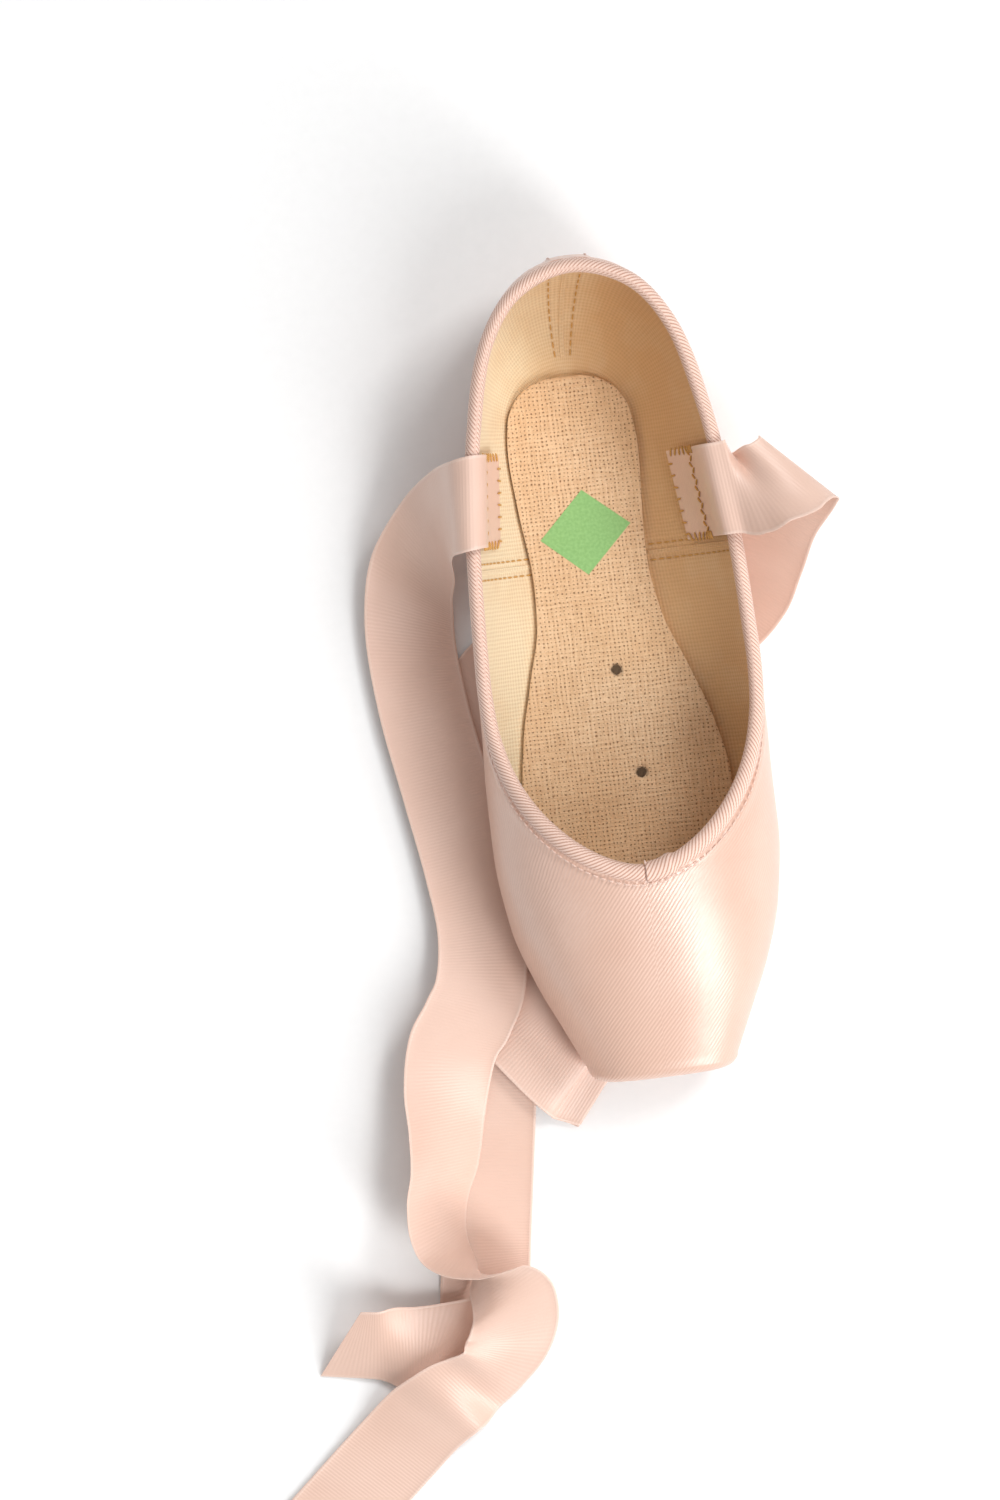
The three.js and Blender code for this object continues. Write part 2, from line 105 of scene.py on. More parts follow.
# a wave texture's bands repeat every 2 pi / 20 of a unit at scale 1
def waveScale(pitch):
    return 2 * math.pi / (20 * pitch)


# colours laid over one another: each row gives a mask, the values of it between which the colour
# comes in, how much of it shows at each of them, and the colour
def layColours(tree, colour, layers):
    for mask, low, high, atLow, atHigh, hexColour in layers:
        reach = {"Value": mask, "From Min": low, "From Max": high, "To Min": atLow, "To Max": atHigh}
        share = addNode(tree, "MapRange", {}, reach)
        colour = addNode(tree, "Mix", {"data_type": "RGBA"}, {0: share, 6: colour, 7: linear(hexColour)}, 2)
    return colour


def colourAndRelief(tree, shader, colour, height, depth, strength):
    tree.links.new(colour, shader.inputs["Base Color"])
    raised = addNode(tree, "Bump", {}, {"Height": height, "Distance": depth, "Strength": strength})
    tree.links.new(raised, shader.inputs["Normal"])


# the gloss follows a mask from its value at 0.3 to its value at 0.7
def glossFrom(tree, shader, mask, atLow, atHigh):
    reach = {"Value": mask, "From Min": 0.3, "From Max": 0.7, "To Min": atLow, "To Max": atHigh}
    tree.links.new(addNode(tree, "MapRange", {}, reach), shader.inputs["Roughness"])


# Polyester satin: long floats lie on the face, so it has a broad soft gloss that runs across the
# threads, a warm edge and a fine slanting grain. The grain is drawn three times coarser to show.
satinLook = {
    "light": "#E6C3B1",
    "shade": "#DAB09B",
    "floatShade": "#D3AA96",
    "grainShade": "#C2937C",
    "grainPitch": 0.95,
    "grainTurn": 38,
}


def satinMaterial():
    finish = {"Roughness": 0.32, "IOR": 1.95, "Anisotropic": 0.4}
    finish.update({"Sheen Weight": 0.1, "Sheen Roughness": 0.35})
    material, tree, shader = newMaterial("polyesterSatin", finish)
    place = clothPlace(tree)
    slanted = clothPlace(tree, satinLook["grainTurn"])
    band = {"Vector": slanted, "Scale": waveScale(satinLook["grainPitch"]), "Distortion": 0.6, "Detail": 1.0}
    grain = addNode(tree, "TexWave", {"bands_direction": "X"}, band, "Fac")
    floats = addNode(tree, "Mapping", {}, {"Vector": slanted, "Scale": (2.6, 0.4, 1)})
    fine = addNode(tree, "TexNoise", {}, {"Vector": floats, "Scale": 1.0, "Detail": 3})
    broad = addNode(tree, "TexNoise", {}, {"Vector": place, "Scale": 0.045, "Detail": 2})
    layers = [
        (broad, 0.2, 0.8, 0.2, 0.8, satinLook["light"]),
        (fine, 0.42, 0.72, 0.0, 0.3, satinLook["floatShade"]),
        (grain, 0.2, 1.0, 0.2, 0.0, satinLook["grainShade"]),
    ]
    colour = layColours(tree, linear(satinLook["shade"]), layers)
    glossFrom(tree, shader, fine, 0.29, 0.38)
    height = addNode(tree, "Math", {"operation": "ADD"}, {0: grain, 1: fine})
    colourAndRelief(tree, shader, colour, height, 0.00008, 0.7)
    return material


# Single-face satin ribbon: smoother than the upper, with a woven selvage down each edge that
# catches a thin line of light, and a duller back.
ribbonLook = {
    "light": "#EBCBBB",
    "shade": "#DCB6A3",
    "speck": "#DDBBA9",
    "edge": "#F0D9CC",
    "selvage": 11.7,  # from the middle, with half the width over which it comes in
    "selvageSoft": 0.15,
    "threadPitch": 0.9,
}


def ribbonMaterial():
    finish = {"Roughness": 0.4, "IOR": 1.6, "Anisotropic": 0.3}
    finish.update({"Sheen Weight": 0.3, "Sheen Roughness": 0.4})
    material, tree, shader = newMaterial("ribbonSatin", finish)
    place = clothPlace(tree)
    across = addNode(tree, "SeparateXYZ", {}, {"Vector": place}, "X")
    edge = addNode(tree, "Math", {"operation": "ABSOLUTE"}, {0: across})
    starts, soft = ribbonLook["selvage"], ribbonLook["selvageSoft"]
    reach = {"Value": edge, "From Min": starts - soft, "From Max": starts + soft}
    selvage = addNode(tree, "MapRange", {}, reach)
    broad = addNode(tree, "TexNoise", {}, {"Vector": place, "Scale": 0.05, "Detail": 2})
    fine = addNode(tree, "TexNoise", {}, {"Vector": place, "Scale": 2.4, "Detail": 3})
    band = {"Vector": place, "Scale": waveScale(ribbonLook["threadPitch"]), "Distortion": 0.3, "Detail": 1.0}
    rows = addNode(tree, "TexWave", {"bands_direction": "Y"}, band, "Fac")
    layers = [
        (broad, 0.2, 0.8, 0.25, 0.75, ribbonLook["light"]),
        (fine, 0.4, 0.75, 0.0, 0.4, ribbonLook["speck"]),
        (selvage, 0, 1, 0.0, 0.3, ribbonLook["edge"]),
    ]
    colour = layColours(tree, linear(ribbonLook["shade"]), layers)
    glossFrom(tree, shader, fine, 0.36, 0.48)
    height = addNode(tree, "Math", {"operation": "ADD"}, {0: rows, 1: selvage})
    colourAndRelief(tree, shader, colour, height, 0.00005, 0.6)
    return material


# Twilled cotton tape: matt, with slanting ribs whose furrows hold a little shade.
tapeLook = {"rib": "#F1D3C4", "furrow": "#BE8C76", "fluff": "#DDBDAE"}


def tapeMaterial():
    finish = {"Roughness": 0.78, "IOR": 1.5, "Sheen Weight": 0.3, "Sheen Roughness": 0.5}
    material, tree, shader = newMaterial("twillTape", finish)
    place = clothPlace(tree)
    ribs = addNode(tree, "SeparateXYZ", {}, {"Vector": place}, "X")  # x counts the ribs
    turn = addNode(tree, "Math", {"operation": "MULTIPLY"}, {0: ribs, 1: 2 * math.pi})
    crest = addNode(tree, "Math", {"operation": "COSINE"}, {0: turn})
    fluff = addNode(tree, "TexNoise", {}, {"Vector": place, "Scale": 3.0, "Detail": 3})
    layers = [(crest, -1, 0.3, 0, 1, tapeLook["rib"]), (fluff, 0.45, 0.8, 0.0, 0.35, tapeLook["fluff"])]
    colour = layColours(tree, linear(tapeLook["furrow"]), layers)
    colourAndRelief(tree, shader, colour, fluff, 0.00006, 0.5)
    return material


# Open burlap over pressed board: dull tan threads crossing, with a dark pinhole at each crossing.
# The pitch is drawn coarser than the real one to show.
canvasLook = {
    "thread": "#EDCCA6",
    "worn": "#E5BF95",
    "slub": "#D0A67C",
    "hole": "#94683F",
    "pitch": 1.15,
    "warp": 1.3,  # how far the threads wander
}


def canvasMaterial():
    finish = {"Roughness": 0.9, "IOR": 1.5, "Sheen Weight": 0.2, "Sheen Roughness": 0.6}
    material, tree, shader = newMaterial("burlapBoard", finish)
    place = clothPlace(tree)
    wander = (canvasLook["warp"], canvasLook["warp"], 0)
    bend = addNode(tree, "TexNoise", {}, {"Vector": place, "Scale": 0.3, "Detail": 2.0}, "Color")
    moved = addNode(tree, "VectorMath", {"operation": "MULTIPLY_ADD"}, {0: bend, 1: wander, 2: place})
    band = {"Vector": moved, "Scale": waveScale(canvasLook["pitch"]), "Distortion": 0.0, "Detail": 1.0}
    warp, weft = (addNode(tree, "TexWave", {"bands_direction": way}, band, "Fac") for way in "XY")
    crossing = addNode(tree, "Math", {"operation": "MULTIPLY"}, {0: warp, 1: weft})
    size = addNode(tree, "TexNoise", {}, {"Vector": place, "Scale": 0.8, "Detail": 3})
    lifted = addNode(tree, "Math", {"operation": "MULTIPLY_ADD"}, {0: size, 1: 1.5, 2: crossing})
    hole = addNode(tree, "MapRange", {}, {"Value": lifted, "From Min": 1.35, "From Max": 1.75})
    slubs = []
    for scale in ((1.3, 0.14, 1), (0.14, 1.3, 1)):
        drawn = addNode(tree, "Mapping", {}, {"Vector": place, "Scale": scale})
        slubs.append(addNode(tree, "TexNoise", {}, {"Vector": drawn, "Scale": 1.0, "Detail": 3}))
    slub = addNode(tree, "Math", {"operation": "ADD"}, {0: slubs[0], 1: slubs[1]})
    broad = addNode(tree, "TexNoise", {}, {"Vector": place, "Scale": 0.03, "Detail": 2})
    layers = [
        (broad, 0.35, 0.65, 0, 1, canvasLook["thread"]),
        (slub, 0.8, 1.2, 0.55, 0.0, canvasLook["slub"]),
        (hole, 0, 1, 0.0, 0.8, canvasLook["hole"]),
    ]
    colour = layColours(tree, linear(canvasLook["worn"]), layers)
    height = addNode(tree, "Math", {"operation": "SUBTRACT"}, {0: slub, 1: hole})
    colourAndRelief(tree, shader, colour, height, 0.0004, 0.8)
    return material


# Cotton drill lining: matt and warm, a close weave, browner in random patches where paste has soaked into
# it, and painted browner still towards the right-hand wall as painted shade.
liningLook = {"cleanAndLit": "#EEDCBA", "shadedAndSoaked": "#DCB384", "weave": "#B98A55", "pitch": 1.1}


def liningMaterial():
    finish = {"Roughness": 0.85, "IOR": 1.5, "Sheen Weight": 0.25, "Sheen Roughness": 0.5}
    material, tree, shader = newMaterial("cottonLining", finish)
    place = clothPlace(tree)
    body = addNode(tree, "TexCoord", {}, {}, "Object")
    side = addNode(tree, "SeparateXYZ", {}, {"Vector": body}, "X")
    # painted shade: across the shoe the lining goes from its lighter colour at the left-hand wall to the
    # browner one at the right-hand wall, which faces away from the light
    shadeAcross = addNode(tree, "MapRange", {}, {"Value": side, "From Min": -0.026, "From Max": 0.012})
    patchy = addNode(tree, "TexNoise", {}, {"Vector": place, "Scale": 0.06, "Detail": 3})
    reach = {"Value": patchy, "From Min": 0.3, "From Max": 0.7, "To Min": -0.2, "To Max": 0.2}
    mottle = addNode(tree, "MapRange", {}, reach)
    # the painted shade across the shoe added to the random paste stains
    shadedAndSoaked = addNode(tree, "Math", {"operation": "ADD", "use_clamp": True}, {0: shadeAcross, 1: mottle})
    band = {"Vector": place, "Scale": waveScale(liningLook["pitch"]), "Distortion": 0.8, "Detail": 1.0}
    warp, weft = (addNode(tree, "TexWave", {"bands_direction": way}, band, "Fac") for way in "XY")
    weave = addNode(tree, "Math", {"operation": "ADD"}, {0: warp, 1: weft})
    # the light colour is the lit, clean cloth; the brown one is both painted shade and paste stain
    ends = {0: shadedAndSoaked, 6: linear(liningLook["cleanAndLit"]), 7: linear(liningLook["shadedAndSoaked"])}
    base = addNode(tree, "Mix", {"data_type": "RGBA"}, ends, 2)
    colour = layColours(tree, base, [(weave, 0.4, 1.4, 0.3, 0.0, liningLook["weave"])])
    colourAndRelief(tree, shader, colour, weave, 0.00012, 0.5)
    return material


# Split cowhide: a dull suede face with a fine random nap, and a darker burnished edge.
leatherLook = {
    "face": "#E0AC8A",
    "rubbed": "#CE9470",
    "edge": "#7A4A35",
    "edgeRubbed": "#5E3626",
    "napSize": 0.5,
}


def leatherMaterial(name, face, rubbed):
    finish = {"Roughness": 0.72, "IOR": 1.5, "Sheen Weight": 0.15, "Sheen Roughness": 0.6}
    material, tree, shader = newMaterial(name, finish)
    place = clothPlace(tree)
    nap = addNode(tree, "TexNoise", {}, {"Vector": place, "Scale": 1 / leatherLook["napSize"], "Detail": 5})
    broad = addNode(tree, "TexNoise", {}, {"Vector": place, "Scale": 0.06, "Detail": 3})
    layers = [(broad, 0.35, 0.65, 0, 1, rubbed), (nap, 0.4, 0.7, 0.0, 0.5, rubbed)]
    colour = layColours(tree, linear(face), layers)
    glossFrom(tree, shader, nap, 0.62, 0.82)
    colourAndRelief(tree, shader, colour, nap, 0.00012, 0.7)
    return material


# Coated sticker paper: an even printed green, faintly mottled by its fibres, with a slight gloss.
paperLook = {"face": "#93C47C", "fibre": "#86B96F", "fibreSize": 0.8}


def paperMaterial():
    material, tree, shader = newMaterial("greenPaper", {"Roughness": 0.55, "IOR": 1.45})
    scale = 1 / paperLook["fibreSize"]
    fibre = addNode(tree, "TexNoise", {}, {"Vector": clothPlace(tree), "Scale": scale, "Detail": 4})
    colour = layColours(tree, linear(paperLook["face"]), [(fibre, 0.35, 0.65, 0, 1, paperLook["fibre"])])
    colourAndRelief(tree, shader, colour, fibre, 0.00002, 0.3)
    return material


# Board punched through: a dry wall of torn fibres, painted dark as the shade inside the hole.
holeLook = {"wall": "#6B5844", "torn": "#4A3A2C", "fibreSize": 0.3}


def holeMaterial():
    material, tree, shader = newMaterial("pegHole", {"Roughness": 0.95, "IOR": 1.4})
    scale = 1 / holeLook["fibreSize"]
    torn = addNode(tree, "TexNoise", {}, {"Vector": clothPlace(tree), "Scale": scale, "Detail": 5})
    # painted shade: the hole's walls and bottom are coloured dark, with darker torn spots
    colour = layColours(tree, linear(holeLook["wall"]), [(torn, 0.35, 0.65, 0, 1, holeLook["torn"])])
    colourAndRelief(tree, shader, colour, torn, 0.0001, 0.8)
    return material


# Twisted thread: a slight gloss with a fine slanting lay.
threadLook = {"gold": ("#E0AE62", "#B37F3A"), "pink": ("#F3DACD", "#D2AA98"), "layPitch": 0.25}


def threadMaterial(name, light, shade):
    finish = {"Roughness": 0.5, "IOR": 1.5, "Sheen Weight": 0.2, "Sheen Roughness": 0.4}
    material, tree, shader = newMaterial(name, finish)
    scale = waveScale(threadLook["layPitch"])
    band = {"Vector": clothPlace(tree), "Scale": scale, "Distortion": 0.0, "Detail": 1.0}
    lay = addNode(tree, "TexWave", {"bands_direction": "DIAGONAL"}, band, "Fac")
    colour = addNode(tree, "Mix", {"data_type": "RGBA"}, {0: lay, 6: linear(shade), 7: linear(light)}, 2)
    colourAndRelief(tree, shader, colour, lay, 0.00005, 0.5)
    return material


# Matt paper sweep: nearly white, with a trace of tooth.
sweepLook = {"shade": "#F6F6F6", "light": "#FCFCFC"}


def sweepMaterial():
    material, tree, shader = newMaterial("paperSweep", {"Roughness": 0.95, "IOR": 1.4})
    place = addNode(tree, "TexCoord", {}, {}, "Object")
    tooth = addNode(tree, "TexNoise", {}, {"Vector": place, "Scale": 300, "Detail": 3})
    ends = {0: tooth, 6: linear(sweepLook["shade"]), 7: linear(sweepLook["light"])}
    colour = addNode(tree, "Mix", {"data_type": "RGBA"}, ends, 2)
    tree.links.new(colour, shader.inputs["Base Color"])
    return material


satin = satinMaterial()
ribbonSatin = ribbonMaterial()
twillTape = tapeMaterial()
burlapBoard = canvasMaterial()
cottonLining = liningMaterial()
soleLeather = leatherMaterial("splitCowhide", leatherLook["face"], leatherLook["rubbed"])
edgeLeather = leatherMaterial("burnishedEdge", leatherLook["edge"], leatherLook["edgeRubbed"])
goldThread = threadMaterial("goldenThread", *threadLook["gold"])
greenPaper = paperMaterial()
pinkThread = threadMaterial("pinkThread", *threadLook["pink"])
shadedHole = holeMaterial()
print("materials made")


# meshes

def makePiece(name, points, faces, uv, material, sharp=55):
    mesh = bpy.data.meshes.new(name)
    mesh.from_pydata((np.asarray(points) * mm).tolist(), [], faces)
    layer = mesh.uv_layers.new(name="cloth")
    corners = np.zeros(len(mesh.loops), int)
    mesh.loops.foreach_get("vertex_index", corners)
    layer.data.foreach_set("uv", np.asarray(uv, float)[corners].ravel())
    tidy = bmesh.new()
    tidy.from_mesh(mesh)
    bmesh.ops.remove_doubles(tidy, verts=tidy.verts, dist=2e-6)
    bmesh.ops.dissolve_degenerate(tidy, edges=tidy.edges, dist=1e-7)
    bmesh.ops.recalc_face_normals(tidy, faces=tidy.faces)
    tidy.to_mesh(mesh)
    tidy.free()
    mesh.polygons.foreach_set("use_smooth", [True] * len(mesh.polygons))
    mesh.set_sharp_from_angle(angle=math.radians(sharp))
    mesh.materials.append(material)
    piece = bpy.data.objects.new(name, mesh)
    bpy.context.collection.objects.link(piece)
    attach(piece, "root")
    return piece


# faces of a grid of points, row after row, that may close on itself either way
def gridFaces(rows, columns, closeRows=False, closeColumns=False, start=0):
    faces = []
    for i in range(rows if closeRows else rows - 1):
        for j in range(columns if closeColumns else columns - 1):
            below = (i + 1) % rows
            beside = (j + 1) % columns
            here, there = start + i * columns, start + below * columns
            faces.append((here + j, here + beside, there + beside, there + j))
    return faces


# faces of a tube of rings, one after another, closed by a cap at each end
def tubeFaces(rings, ring, start=0):
    final = start + (rings - 1) * ring
    caps = [tuple(range(start, start + ring)), tuple(range(final, final + ring))]
    return gridFaces(rings, ring, closeColumns=True, start=start) + caps


def unit(vectors):
    return vectors / np.maximum(np.linalg.norm(vectors, axis=-1, keepdims=True), 1e-9)


# how far along a path each of its points lies
def travelAlong(path):
    return np.concatenate([[0], np.cumsum(np.linalg.norm(np.diff(path, axis=0), axis=1))])


# rows of x, y and z read off at given distances along their path
def readAlong(rows, travel, at):
    return np.stack([np.interp(at, travel, rows[:, k]) for k in range(3)], -1)


# a centripetal curve through given points
def smoothPath(points, count):
    points = np.asarray(points, float)
    ends = [2 * points[0] - points[1], 2 * points[-1] - points[-2]]
    padded = np.vstack([ends[0], points, ends[1]])
    spans = len(points) - 1
    path = []
    for step in range(count + 1):
        along = spans * step / count
        i = min(int(along), spans - 1)
        t = along - i
        p0, p1, p2, p3 = padded[i : i + 4]
        steps = ((p0, p1), (p1, p2), (p2, p3))
        d0, d1, d2 = (max(float(np.linalg.norm(b - a)) ** 0.5, 1e-4) for a, b in steps)
        start = ((p1 - p0) / d0 - (p2 - p0) / (d0 + d1) + (p2 - p1) / d1) * d1
        finish = ((p2 - p1) / d1 - (p3 - p1) / (d1 + d2) + (p3 - p2) / d2) * d1
        square = -3 * p1 + 3 * p2 - 2 * start - finish
        cube = 2 * p1 - 2 * p2 + start + finish
        path.append(p1 + start * t + square * t * t + cube * t**3)
    return np.array(path)


# ribbons: x, y and z in metres along the middle, then the compass turn and rise of the width in degrees
ribbonCut = {
    "width": 25.0,
    "thickness": 0.28,
    "rim": 0.44,  # thickness of the woven edge
    "rimWidth": 0.7,
    "stepsPerRow": 8,
    "acrossPoints": 13,
    "slant": 6.6,
    "slantLength": 16,
    "widestReach": 0.6,  # least sine of the angle between the ribbon's run and its width
}

ribbonLeftRoute = [
    (-0.0258, 0.0495, 0.018, 84, 0),
    (-0.0296, 0.0495, 0.028, 84, 0),
    (-0.0309, 0.0495, 0.038, 84, 0),
    (-0.0298, 0.0495, 0.0438, 84, 0),
    (-0.0319, 0.0495, 0.0474, 84, 0),
    (-0.035, 0.0493, 0.0482, 84, 0),
    (-0.0386, 0.0488, 0.0456, 86, 0),
    (-0.0414, 0.0476, 0.035, 92, 0),
    (-0.046, 0.0415, 0.018, 114, 2),
    (-0.052, 0.031, 0.0075, 140, 6),
    (-0.0545, 0.017, 0.004, 164, 8),
    (-0.0535, -0.004, 0.0034, 182, 6),
    (-0.05, -0.027, 0.0035, 187, 6),
    (-0.0465, -0.05, 0.0038, 187, 6),
    (-0.045, -0.068, 0.0056, 181, 5),
    (-0.0475, -0.083, 0.009, 168, 4),
    (-0.0519, -0.0911, 0.0108, 156, 3),
    (-0.0572, -0.0991, 0.011, 164, 6),
    (-0.0601, -0.1096, 0.0106, 177, 17),
    (-0.0615, -0.1203, 0.0102, 180, 32),
    (-0.0634, -0.1316, 0.011, 180, 41),
    (-0.0663, -0.1401, 0.0116, 182, 46),
    (-0.0673, -0.1473, 0.0122, 188, 50),
    (-0.0664, -0.153, 0.013, 198, 56),
    (-0.0634, -0.1571, 0.0142, 208, 68),
    (-0.0579, -0.1611, 0.015, 212, 90),
    (-0.0549, -0.1627, 0.016, 30, 64),
    (-0.0523, -0.1654, 0.0176, 34, 36),
    (-0.0501, -0.1695, 0.018, 26, 12),
    (-0.0497, -0.1747, 0.0162, 12, 0),
    (-0.0508, -0.1794, 0.0142, 0, -10),
    (-0.0534, -0.1845, 0.0126, -20, -24),
    (-0.0577, -0.1894, 0.0106, -44, -36),
    (-0.0634, -0.1929, 0.008, -54, -30),
    (-0.0703, -0.1967, 0.0086, -50, -14),
    (-0.0775, -0.2013, 0.0052, -46, -6),
    (-0.0861, -0.2089, 0.0022, -45, -2),
    (-0.1022, -0.223, 0.001, -45, 0),
    (-0.1137, -0.233, 0.001, -45, 0),
]
ribbonRightRoute = [
    (0.0229, 0.045, 0.0185, 97, 0),
    (0.0278, 0.045, 0.028, 97, 0),
    (0.0298, 0.045, 0.0438, 97, 0),
    (0.0318, 0.045, 0.0474, 96, 0),
    (0.036, 0.045, 0.0484, 96, 0),
    (0.0395, 0.0444, 0.0494, 106, -16),
    (0.0436, 0.0442, 0.05, 122, -32),
    (0.0498, 0.0462, 0.0514, 133, -8),
    (0.0542, 0.0482, 0.048, 135, 0),
    (0.0534, 0.0446, 0.0434, 137, 0),
    (0.0476, 0.0366, 0.034, 142, 0),
    (0.0432, 0.026, 0.022, 143, 0),
    (0.0386, 0.016, 0.0105, 140, 0),
    (0.031, 0.0096, 0.003, 128, 0),
    (0.017, 0.0074, 0.001, 100, 0),
    (-0.024, 0.0045, 0.001, 97, 0),
    (-0.035, -0.0035, 0.001, 134, 0),
    (-0.0403, -0.02, 0.001, 170, 0),
    (-0.0415, -0.066, 0.0014, 181, 0),
    (-0.043, -0.081, 0.0042, 190, 0),
    (-0.0395, -0.092, 0.0063, 209, 0),
    (-0.0315, -0.1038, 0.0063, 225, 4),
    (-0.0253, -0.1113, 0.0057, 228, 3),
    (-0.0238, -0.1128, 0.0047, 228, 0),
    (-0.0239, -0.1127, 0.0034, 229, 0),
    (-0.021, -0.114, 0.0024, 231, 0),
    (-0.0168, -0.116, 0.0016, 231, 0),
    (-0.0206, -0.1142, 0.0008, 230, 0),
    (-0.032, -0.1036, 0.0009, 219, 0),
    (-0.0434, -0.0936, 0.0009, 199, 0),
    (-0.0449, -0.0927, 0.0022, 199, 0),
    (-0.0455, -0.0943, 0.0035, 199, 0),
    (-0.0469, -0.1064, 0.0026, 172, 0),
    (-0.0541, -0.1518, 0.0011, 171, 0),
    (-0.0584, -0.1776, 0.0012, 216, 0),
    (-0.0599, -0.1812, 0.0032, 216, 0),
    (-0.0638, -0.1816, 0.0052, 216, 0),
    (-0.0778, -0.1816, 0.0068, 264, -9),
    (-0.0877, -0.179, 0.0084, 268, -33),
    (-0.0984, -0.1772, 0.0078, 268, -34),
]


def makeRibbon(name, node, route, slant):
    rows = np.array(route, float)
    count = ribbonCut["stepsPerRow"] * (len(rows) - 1)
    middle = smoothPath(rows[:, :3] / mm, count)
    turn, rise = np.radians(rows[:, 3]), np.radians(rows[:, 4])
    widths = np.stack([np.cos(turn) * np.cos(rise), np.sin(turn) * np.cos(rise), np.sin(rise)], 1)
    across = unit(smoothPath(widths, count))
    along = unit(np.gradient(middle, axis=0))
    through = np.cross(along, across)
    crossing = np.linalg.norm(through, axis=1, keepdims=True)
    reach = ribbonCut["width"] / 2 / np.maximum(crossing, ribbonCut["widestReach"])
    through = unit(through)
    travel = travelAlong(middle)
    # the last stretch is cut on the slant
    cut = ribbonCut["slantLength"]
    nearEnd = np.clip((travel - travel[-1] + cut) / cut, 0, 1) ** 2 * slant
    half = ribbonCut["width"] / 2
    rimStart = 1 - ribbonCut["rimWidth"] / half
    rim = (1 + rimStart) / 2
    plain = np.linspace(-rimStart, rimStart, ribbonCut["acrossPoints"])
    face = np.concatenate([[-1.0, -rim], plain, [rim, 1.0]])
    heights = np.where(np.abs(face) > rimStart + 1e-6, ribbonCut["rim"] / 2, ribbonCut["thickness"] / 2)
    heights[[0, -1]] = 0.06
    profile = np.concatenate([np.stack([face, heights], 1), np.stack([face, -heights], 1)[::-1]])
    points = []
    uv = []
    for i in range(count + 1):
        shift = along[i] * nearEnd[i]
        for a, h in profile:
            points.append(middle[i] + across[i] * reach[i] * a + through[i] * h + shift * a)
            uv.append((a * half, travel[i]))
    ribbon = makePiece(name, points, tubeFaces(count + 1, len(profile)), uv, ribbonSatin)
    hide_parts(node)
    return ribbon


makeRibbon("ribbonLeft", "ribbon_left", ribbonLeftRoute, 0.0)
makeRibbon("ribbonRight", "ribbon_right", ribbonRightRoute, ribbonCut["slant"])
print("ribbons laid")


# the last: one row for each section across the foot, at a distance s from the back of the heel
# s, half width, flat half width below, bottom, widest line's height, top, squareness below and above, skew
lastRows = [
    (0, 27, 15, 2.8, 30, 100, 1.9, 1.7, -3.6),
    (45, 32.4, 15.5, 2.8, 37, 100, 1.5, 2.2, -3.6),
    (66, 35.2, 15.5, 2.8, 38, 99, 1.45, 2.2, -3.5),
    (84, 36.6, 14.5, 5.6, 37, 98, 1.45, 2.2, -3),
    (103, 37.5, 15.5, 7.2, 34, 92, 1.55, 2.2, -2),
    (125, 38.7, 19, 4.6, 26, 66, 1.8, 2.2, -0.8),
    (140, 39.3, 21, 2.8, 19.5, 59, 2.1, 2.2, -0.2),
    (160, 39.4, 20, 2.8, 16.5, 54, 2.3, 2.2, 0),
    (180, 37.1, 17, 2.8, 16, 49.2, 2.3, 2.25, 0),
    (196, 32.2, 12, 3.5, 16, 43.6, 2.3, 2.35, 0),
    (210, 26, 8, 4.8, 16, 37.2, 2.3, 2.4, 0),
    (222, 20.6, 6, 6.4, 16, 31.4, 2.3, 2.4, 0),
]
lastColumns = ("half", "flat", "bottom", "side", "top", "low", "up", "skew")

# the collar: s, and the angle round the section from the widest line (0) to the top (90)
collarRows = [
    (0, 17), (6, 16), (20, 11.5), (45, 6.5), (66, 4), (84, 3.2), (103, 4.6),
    (116, 10.5), (128, 20.5), (140, 34), (150, 48), (159, 64), (165, 79), (167, 90),
]

shoeForm = {
    "length": 225,
    "wall": 2.0,
    "heelAxis": 45,  # from the back of the heel to the middle of the heel cup
    "heelRoundness": 2.35,
    "throat": 167,
    "platformStart": 222.5,
    "platformRound": 4.7,
    "platformSlope": 28,
}
heelAxis = shoeForm["heelAxis"]
wall = shoeForm["wall"]


# a smooth curve through a table's values that never overshoots them
def smoothCurve(stations, values):
    s = np.array(stations, float)
    v = np.array(values, float)
    slope = np.diff(v) / np.diff(s)
    inner = [0.0 if a * b <= 0 else 2 * a * b / (a + b) for a, b in zip(slope, slope[1:])]
    tangent = np.array([slope[0], *inner, slope[-1]])

    def at(place):
        place = np.clip(place, s[0], s[-1])
        i = np.clip(np.searchsorted(s, place, side="right") - 1, 0, len(s) - 2)
        span = s[i + 1] - s[i]
        t = (place - s[i]) / span
        rest = 1 - t
        near = v[i] * (1 + 2 * t) * rest * rest + tangent[i] * span * t * rest * rest
        return near + v[i + 1] * t * t * (3 - 2 * t) - tangent[i + 1] * span * t * t * rest

    return at


lastStations = [row[0] for row in lastRows]
last = {
    name: smoothCurve(lastStations, [row[i + 1] for row in lastRows])
    for i, name in enumerate(lastColumns)
}


def outlineHalf(s):
    back = np.clip((heelAxis - s) / heelAxis, 0, 1)
    roundness = shoeForm["heelRoundness"]
    return last["half"](s) * (1 - back**roundness) ** (1 / roundness)


def pageOf(s):
    return np.where(s < heelAxis, np.arctan2(outlineHalf(s), heelAxis - s), math.pi / 2)


